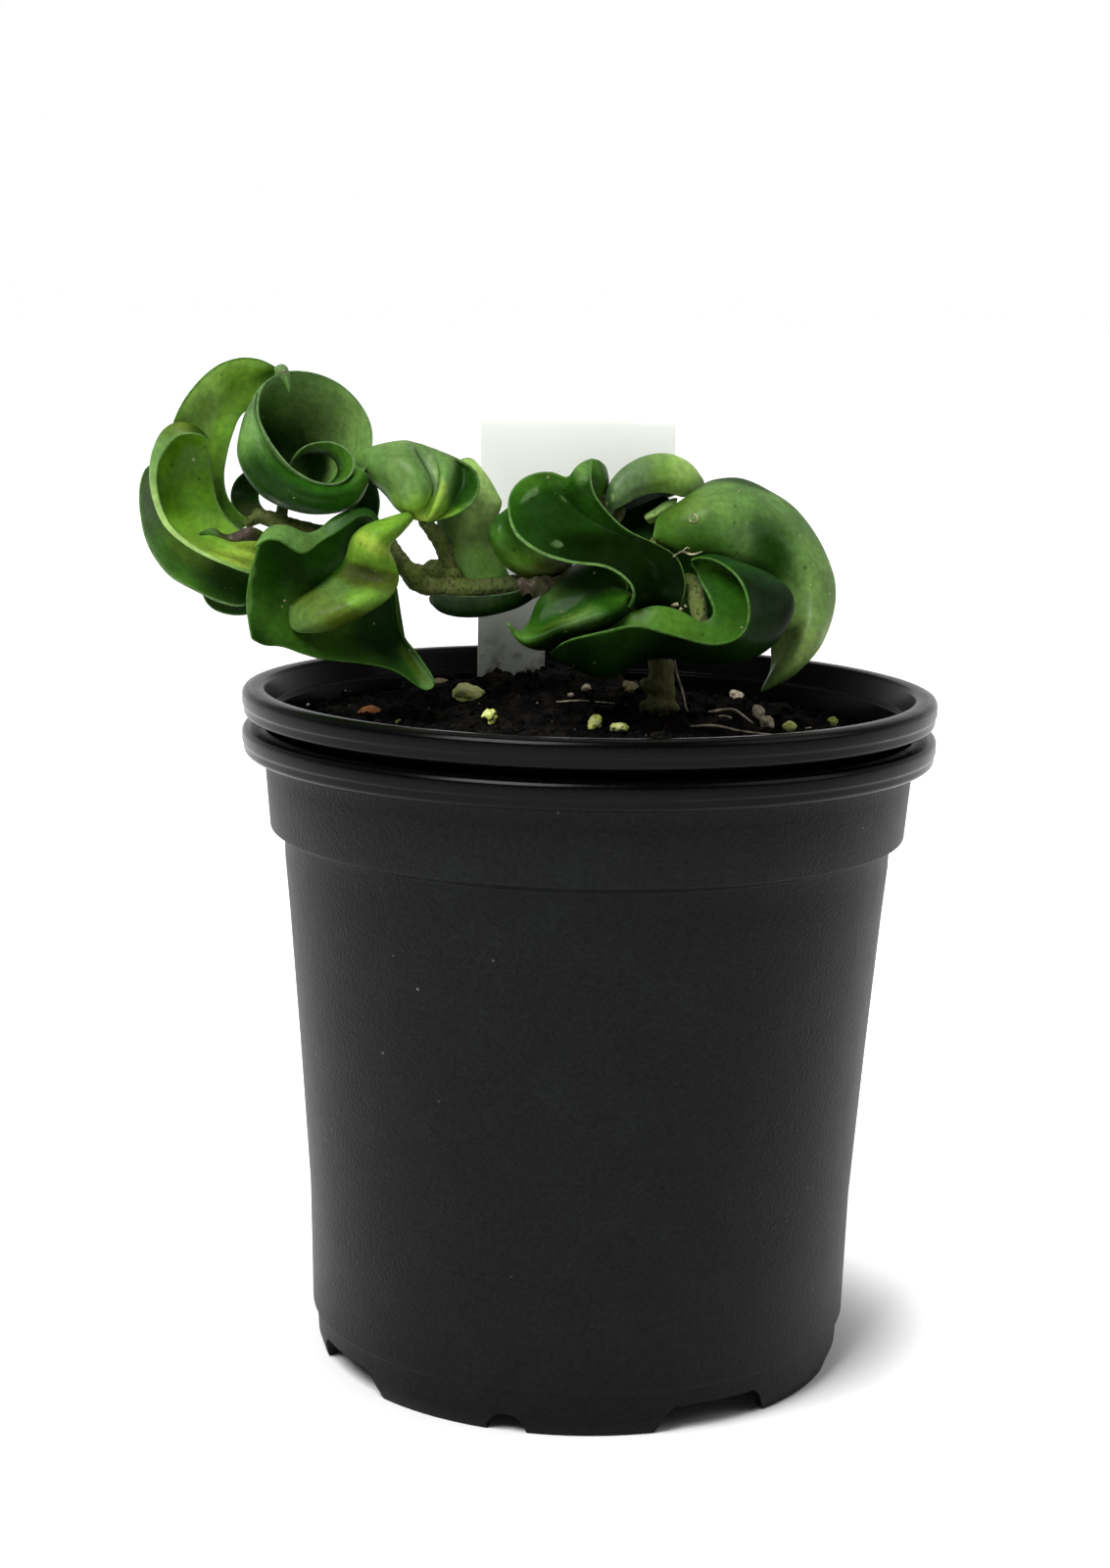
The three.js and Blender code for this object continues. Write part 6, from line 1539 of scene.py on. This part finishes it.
# Stem
KNOTS = [
    (-14, 186.4, 0.4, 3.1), (-9, 187.4, 2, 2.9), (-4.6, 187.2, 2.4, 2.7), (-17.6, 186.2, 0.6, 2.8),
    (-41.6, 188.6, 0, 2.9), (-60, 198.2, 3, 2.5), (-37.4, 190.4, -0.4, 2.6), (-33, 189.2, 0, 2.4),
    (-72.5, 200, 5, 2.5), (5, 185, 6, 2.9), (14.2, 163.4, 1.4, 2.3), (19.4, 158, 2.4, 2.2),
    (16.2, 158, 1.6, 2.7), (13.4, 157.6, 4, 2.2), (15.6, 176.4, 3.6, 3.4),
]


def make_stem(settings):
    """Trunk, vine and leaf stalks grown together, with swellings at the joints."""
    bm = bmesh.new()
    for radii, points in STEMS:
        add_tube(bm, [seen(point) for point in points], radii, 16, 1.2)
    for k, (across, up, depth, size) in enumerate(KNOTS):
        add_lump(bm, seen((across, up, depth)), size, 0.8, 0.35, k + 2, 3)
    helper = scratch_object(bm, "stem blank")
    skin = helper.modifiers.new("Skin", "REMESH")
    skin.mode = "VOXEL"
    skin.voxel_size = settings.voxel
    bpy.context.view_layer.update()
    bm = applied_mesh(helper)
    drop(helper)
    bmesh.ops.smooth_vert(bm, verts=bm.verts[:], factor=0.5,
                          use_axis_x=True, use_axis_y=True, use_axis_z=True)
    bm.normal_update()
    for vert in bm.verts:
        place = vert.co / MM
        rough = noise.noise(place * 0.45) * 0.34 + noise.noise(place * 1.3) * 0.16
        ring = noise.noise(Vector((place.x * 0.9, 0, place.z * 0.7))) * 0.14
        vert.co += vert.normal * (rough + ring) * MM
    smooth_faces(bm)
    return piece_from(bm, "woody_stem", [bark_skin(settings)], ["stem"])


# Leaves
def rolled_rails(roll):
    """The rails of a leaf rolled into a horn: its rim, and rings drawn in toward the closed end."""
    mouth, end = Vector(roll["mouth"]), Vector(roll["end"])
    rails = [roll["rim"]]
    for push, size in roll["rings"]:
        ring = []
        for k, point in enumerate(roll["rim"]):
            amount = roll["reach"][k] if k < len(roll["reach"]) else 1
            centre = mouth + (end - mouth) * push * amount
            ring.append(tuple(centre + (Vector(point) - mouth) * (1 - (1 - size) * amount)))
        rails.append(ring)
    return rails


def spread_rails(leaf):
    """Rails spread evenly from a leaf's left margin to its right one, bulging by its belly between them."""
    rails = []
    for row, depths in enumerate(leaf["depths"]):
        share = row / (len(leaf["depths"]) - 1)
        rail = []
        for k, (start, end, depth) in enumerate(zip(leaf["left"], leaf["right"], depths)):
            place = Vector(start).lerp(Vector(end), share)
            place += Vector(leaf["belly"].get(k, (0, 0))) * 4 * share * (1 - share)
            rail.append((*place, depth))
        rails.append(rail)
    return rails


def leaf_rails(leaf):
    """The rails of a leaf, as given or worked out from its roll or its margins."""
    if "roll" in leaf:
        return rolled_rails(leaf["roll"])
    return leaf["rails"] if "rails" in leaf else spread_rails(leaf)


def leaf_grid(rails, along, across):
    """Points in millimetres over the smooth sheet through the rails."""
    runs = [[seen(point) for point in rail] for rail in rails]
    rows = []
    for i in range(along + 1):
        rib = [curve_point(run, i / along) for run in runs]
        rows.append([curve_point(rib, j / across) for j in range(across + 1)])
    return rows


def line_length(points):
    """Length of a run of points."""
    return sum((b - a).length for a, b in zip(points, points[1:]))


def running_lengths(points):
    """Distance of each point from the first, along the run."""
    found = [0.0]
    for a, b in zip(points, points[1:]):
        found.append(found[-1] + (b - a).length)
    return found


def round_tips(rows, tips):
    """Draws the margins in near a free end, so that the leaf ends in a round tip."""
    middle = len(rows[0]) // 2
    spine = running_lengths([row[middle] for row in rows])
    for row, place in zip(rows, spine):
        for tip, distance in ((tips[0], place), (tips[1], spine[-1] - place)):
            if distance < tip:
                width = math.sqrt(max(1 - (1 - distance / tip) ** 2, 0.12))
                centre = row[middle].copy()
                for point in row:
                    point[:] = centre + (point - centre) * width


def edge_distances(rows):
    """For each point of the sheet, how far it lies from the nearest margin, in millimetres."""
    side = [running_lengths(row) for row in rows]
    down = [running_lengths(column) for column in zip(*rows)]
    return [[min(side[i][j], side[i][-1] - side[i][j], down[j][i], down[j][-1] - down[j][i])
             for j in range(len(rows[0]))] for i in range(len(rows))]


# Cells of the draft that a leaf is measured on, how thin its margin is beside its middle, and how far
# from the margin in millimetres it is as thick as it gets
DRAFT_ALONG, DRAFT_ACROSS = 40, 12
THIN_EDGE = 0.26
FULL_FLESH = 4.5


def make_leaf(name, leaf, settings):
    """A thick leaf: a sheet through its rails, swollen a little, given flesh and rounded margins."""
    rails = leaf_rails(leaf)
    draft = leaf_grid(rails, DRAFT_ALONG, DRAFT_ACROSS)
    cell = settings.cell / MM
    along = max(int(max(line_length(column) for column in zip(*draft)) / cell), 6)
    across = max(int(line_length(draft[DRAFT_ALONG // 2]) / cell), 5)
    rows = leaf_grid(rails, along, across)
    round_tips(rows, LEAF_TIPS.get(name, (0, 0)))
    distances = edge_distances(rows)
    bm = bmesh.new()
    bm.loops.layers.uv.new("leaf")
    from_edge = bm.verts.layers.float.new("from_edge")
    flesh = bm.verts.layers.deform.verify()
    bmesh.ops.create_grid(bm, x_segments=along, y_segments=across, size=0.5, calc_uvs=True)
    for vert in bm.verts:
        i = round((vert.co.x + 0.5) * along)
        j = round((vert.co.y + 0.5) * across)
        vert.co = rows[i][j]
        vert[from_edge] = distances[i][j]
        vert[flesh][0] = THIN_EDGE + (1 - THIN_EDGE) * smooth_step(0, FULL_FLESH, distances[i][j])
    bm.normal_update()
    for vert in bm.verts:
        swell = noise.noise(vert.co * 0.13) + 0.4 * noise.noise(vert.co * 0.33)
        vert.co = placed(vert.co + vert.normal * swell * settings.ripple / MM)
    smooth_faces(bm)
    looks = LEAF_COLOURS[name]
    shine = looks.get("shine", LEAF_SHINE)
    materials = [leaf_face(name + " upper face", *looks["upper"], looks["margin"], shine, settings),
                 leaf_face(name + " under face", *looks["under"], looks["margin"], shine, settings),
                 leaf_margin(name + " margin", looks["margin"], settings)]
    piece = piece_from(bm, name + "_blade", materials, LEAF_NODES.get(name, [name]))
    piece.vertex_groups.new(name="flesh")
    wall = piece.modifiers.new("Flesh", "SOLIDIFY")
    wall.thickness = leaf["thickness"] * MM * settings.thickness
    wall.offset = 0
    wall.vertex_group = "flesh"
    wall.material_offset = 1
    wall.material_offset_rim = 2
    rounding = piece.modifiers.new("Rounding", "SUBSURF")
    rounding.levels = 2
    rounding.render_levels = 2
    return piece


# A leaf stands for the node of its own name, apart from these
EXTRA_LEAVES = ("snail_bowl", "hook_tip", "dry_margin", "hollow_leaf", "shard_leaf", "bract_low",
                "bract_high")
LEAF_NODES = {"wave_upper": ["wave_upper", "crest_leaf"], **{name: [] for name in EXTRA_LEAVES}}


# Marks on the leaves, given as seen from the camera: leaf, (across, up), half width
SPECKS = [
    ("claw_leaf", (34.2, 209.9), 0.42), ("claw_leaf", (32.7, 212.2), 0.3), ("claw_leaf", (31.1, 212.6), 0.22),
    ("claw_leaf", (56.4, 186), 0.4), ("claw_leaf", (55.3, 191.5), 0.2), ("claw_leaf", (47.4, 175), 0.26),
    ("claw_leaf", (48.7, 175.5), 0.24), ("claw_leaf", (50.2, 174.6), 0.26), ("claw_leaf", (43.6, 208), 0.2),
    ("claw_leaf", (51.6, 197), 0.18), ("wave_lower", (-7.1, 180.6), 0.3), ("wave_lower", (-5.2, 179.9), 0.26),
    ("wave_lower", (-6.6, 179.4), 0.22), ("fold_back", (-72.8, 181.9), 0.42),
    ("fold_back", (-73.5, 180.5), 0.25), ("hook_back", (-85.6, 184.7), 0.22),
    ("snail_bowl", (-77.2, 214.9), 0.2), ("snail_bowl", (-70.7, 206.3), 0.2),
    ("pale_leaf", (-32.5, 193.6), 0.25), ("fold_front", (-58.6, 183.6), 0.2),
    ("fold_front", (-51.4, 189.3), 0.2), ("wave_upper", (-9, 208.6), 0.18), ("hook_tip", (-73.2, 235.6), 0.6),
]
RING_SCAR = {"leaf": "claw_leaf", "place": (23.7, 203.2), "radius": 0.95, "wall": 0.2, "open": 0.7}
# Dry strands and tan crumbs where the leaves meet, as (radius, points) and (point, half width)
STRANDS = [
    (0.3, [(18.9, 193.9, -8), (21.2, 195.3, -9.5), (23.5, 194.7, -10.5), (26, 195.4, -10)]),
    (0.2, [(21.2, 195.3, -9.5), (22.3, 196.3, -9.5), (23, 196, -9)]),
]
TAN_CRUMBS = [((19.8, 182.6, -9.5), 0.8), ((21.3, 181.6, -11), 0.6), ((22.4, 182.3, -10.5), 0.5)]


def leaf_surface(name, place, graph):
    """Where the line of sight through a place of the front elevation meets a leaf, and its normal there."""
    tree = BVHTree.FromObject(bpy.data.objects[name + "_blade"], graph)
    start = placed(EYE)
    hit, normal, _, _ = tree.ray_cast(start, placed(seen((*place, 0))) - start)
    if hit is None:
        raise RuntimeError(f"{name} is not seen at {place}")
    return (hit - POT_AXIS) / MM, normal


def make_marks(settings):
    """Corky specks, a ring scar, dry strands and crumbs on the leaves."""
    graph = bpy.context.evaluated_depsgraph_get()
    bm = bmesh.new()
    for seed, (leaf, place, size) in enumerate(SPECKS):
        spot, normal = leaf_surface(leaf, place, graph)
        add_lump(bm, spot - normal * size * 0.4, size, 0.8, 0.5, seed + 3, 2)
    for seed, (point, size) in enumerate(TAN_CRUMBS):
        add_lump(bm, seen(point), size, 0.7, 0.8, seed + 60, 2)
    spot, normal = leaf_surface(RING_SCAR["leaf"], RING_SCAR["place"], graph)
    side = normal.cross(Vector((0, 0, 1))).normalized()
    rise = side.cross(normal)
    turns = [RING_SCAR["open"] + (math.tau - RING_SCAR["open"]) * k / 14 for k in range(15)]
    ring = [spot + (side * math.cos(t) + rise * math.sin(t)) * RING_SCAR["radius"] for t in turns]
    add_tube(bm, ring, (RING_SCAR["wall"],), 8, 0.3)
    for radius, run in STRANDS:
        add_tube(bm, [seen(point) for point in run], (radius * 0.6, radius, radius * 0.5), 8, 0.4)
    smooth_faces(bm)
    material = mineral("Dry cork", settings.cork, settings.dried, settings.bark_leaf)
    return piece_from(bm, "leaf_marks", [material], [])


# Stage
CAMERA_PITCH = 9.974
CAMERA_ROLL = 1.085
SENSOR = 36
FOCAL_PIXELS = 2800
PHOTO_HEIGHT = 1600
FLOOR_RADIUS = 30
LIGHT_TARGET = 0.16


def aim(thing, target):
    """Turns a light so that it shines at a point."""
    thing.rotation_euler = (target - thing.location).to_track_quat("-Z", "Y").to_euler()


def add_softbox(name, location, size, power, target):
    """A square area light."""
    light = bpy.data.lights.new(name, "AREA")
    light.size = size
    light.energy = power
    box = bpy.data.objects.new(name, light)
    box.location = location
    bpy.context.scene.collection.objects.link(box)
    aim(box, target)


def add_camera():
    """The camera stands where the photograph was taken, with its pitch, roll and field of view."""
    pitch, roll = math.radians(CAMERA_PITCH), math.radians(CAMERA_ROLL)
    forward = Vector((0, math.cos(pitch), -math.sin(pitch)))
    level_up = Vector((0, math.sin(pitch), math.cos(pitch)))
    level_right = Vector((1, 0, 0))
    right = level_right * math.cos(roll) + level_up * math.sin(roll)
    up = level_up * math.cos(roll) - level_right * math.sin(roll)
    lens = bpy.data.cameras.new("View")
    lens.sensor_width = SENSOR
    lens.lens = SENSOR * FOCAL_PIXELS / PHOTO_HEIGHT
    camera = bpy.data.objects.new("View", lens)
    turn = Matrix((right, up, -forward)).transposed().to_4x4()
    camera.matrix_world = Matrix.Translation(placed((-7.83, -649.25, 253.1))) @ turn
    bpy.context.scene.collection.objects.link(camera)
    bpy.context.scene.camera = camera


def light_surround(settings):
    """A studio that is bright behind and above the object, dim before it, and white to the camera."""
    world = bpy.data.worlds.new("Surround")
    bpy.context.scene.world = world
    paint = Paint(world, "Generated")
    behind = paint.place_part(1).step(-0.25, 0.55) * (settings.back - settings.front) + settings.front
    above = paint.place_part(2).step(0.04, 0.4) * (settings.top - 1) + 1
    camera = paint.node("ShaderNodeLightPath", {}, {}).outputs["Is Camera Ray"]
    strength = paint.node("ShaderNodeMix", {}, {0: camera, 2: behind * above, 3: 1.0}).outputs[0]
    glow = paint.node("ShaderNodeBackground", {}, {"Color": settings.surround, "Strength": strength})
    paint.node("ShaderNodeOutputWorld", {}, {0: glow.outputs[0]})


def make_stage(settings):
    """Floor, light and camera."""
    bm = bmesh.new()
    bmesh.ops.create_circle(bm, cap_ends=True, segments=64, radius=FLOOR_RADIUS)
    mesh = bpy.data.meshes.new("floor")
    bm.to_mesh(mesh)
    bm.free()
    mesh.materials.append(pale_floor(settings))
    floor = bpy.data.objects.new("floor", mesh)
    bpy.context.scene.collection.objects.link(floor)
    middle = POT_AXIS + Vector((0, 0, LIGHT_TARGET))
    add_softbox("Key light", Vector((-0.55, -0.75, 1.35)), 0.8, settings.key_power, middle)
    add_softbox("Fill light", Vector((0.9, -0.2, 0.9)), 0.7, settings.fill_power, middle)
    light_surround(settings)
    add_camera()
    bpy.context.scene.view_settings.view_transform = "Standard"


# Operators, one for each piece or group of like pieces
class ROPEPLANT_OT_pots(bpy.types.Operator):
    """Build the two nested pots"""
    bl_idname = "rope_plant.pots"
    bl_label = "Pots"

    def execute(self, context):
        settings = context.scene.rope_plant_pots
        # The second material is the plastic painted darker as shade, for the inner walls
        materials = [pot_plastic("Pot plastic", settings.plastic, 0.08, settings),
                     pot_plastic("Pot lining", settings.lining, 0.04, settings)]
        make_pot("outer_pot", OUTER_SECTION, 0, materials, settings)
        make_pot("inner_pot", INNER_SECTION, NESTING_LIFT, materials, settings)
        return {"FINISHED"}


class ROPEPLANT_OT_soil(bpy.types.Operator):
    """Build the soil with its crumbs, granules and fine roots"""
    bl_idname = "rope_plant.soil"
    bl_label = "Soil"

    def execute(self, context):
        settings = context.scene.rope_plant_soil
        soil = make_soil(settings)
        make_crumbs(settings, soil)
        make_granules(settings)
        make_roots(settings)
        return {"FINISHED"}


class ROPEPLANT_OT_tag(bpy.types.Operator):
    """Build the plain tag"""
    bl_idname = "rope_plant.tag"
    bl_label = "Tag"

    def execute(self, context):
        make_tag(context.scene.rope_plant_tag)
        return {"FINISHED"}


class ROPEPLANT_OT_stem(bpy.types.Operator):
    """Build the trunk, vine and leaf stalks"""
    bl_idname = "rope_plant.stem"
    bl_label = "Stem"

    def execute(self, context):
        make_stem(context.scene.rope_plant_stem)
        return {"FINISHED"}


class ROPEPLANT_OT_leaves(bpy.types.Operator):
    """Build every leaf from its rails"""
    bl_idname = "rope_plant.leaves"
    bl_label = "Leaves"

    def execute(self, context):
        for name, leaf in LEAVES.items():
            make_leaf(name, leaf, context.scene.rope_plant_leaves)
        return {"FINISHED"}


class ROPEPLANT_OT_marks(bpy.types.Operator):
    """Build the corky specks, the ring scar and the dry strands on the leaves"""
    bl_idname = "rope_plant.marks"
    bl_label = "Leaf Marks"

    def execute(self, context):
        make_marks(context.scene.rope_plant_leaves)
        return {"FINISHED"}


class ROPEPLANT_OT_stage(bpy.types.Operator):
    """Build the floor, the lights and the camera"""
    bl_idname = "rope_plant.stage"
    bl_label = "Stage"

    def execute(self, context):
        make_stage(context.scene.rope_plant_stage)
        return {"FINISHED"}


OPERATORS = (ROPEPLANT_OT_stage, ROPEPLANT_OT_pots, ROPEPLANT_OT_soil, ROPEPLANT_OT_tag, ROPEPLANT_OT_stem,
             ROPEPLANT_OT_leaves, ROPEPLANT_OT_marks)
SETTINGS = {
    "rope_plant_leaves": LeafSettings,
    "rope_plant_pots": PotSettings,
    "rope_plant_soil": SoilSettings,
    "rope_plant_stem": StemSettings,
    "rope_plant_tag": TagSettings,
    "rope_plant_stage": StageSettings,
}


class ROPEPLANT_PT_panel(bpy.types.Panel):
    """Lists the building steps and their settings"""
    bl_idname = "ROPEPLANT_PT_panel"
    bl_label = "Rope Plant"
    bl_space_type = "VIEW_3D"
    bl_region_type = "UI"
    bl_category = "Rope Plant"

    def draw(self, context):
        for operator in OPERATORS:
            self.layout.operator(operator.bl_idname)
        for name, group in SETTINGS.items():
            box = self.layout.box()
            box.label(text=group.__doc__)
            for key in group.__annotations__:
                box.prop(getattr(context.scene, name), key)


CLASSES = (*SETTINGS.values(), *OPERATORS, ROPEPLANT_PT_panel)


def register():
    for cls in CLASSES:
        bpy.utils.register_class(cls)
    for name, group in SETTINGS.items():
        setattr(bpy.types.Scene, name, bpy.props.PointerProperty(type=group))


def unregister():
    for name in SETTINGS:
        delattr(bpy.types.Scene, name)
    for cls in reversed(CLASSES):
        bpy.utils.unregister_class(cls)


def main():
    """Builds the whole scene."""
    register()
    for operator in OPERATORS:
        getattr(bpy.ops.rope_plant, operator.bl_idname.split(".")[1])()


if __name__ == "__main__":
    main()
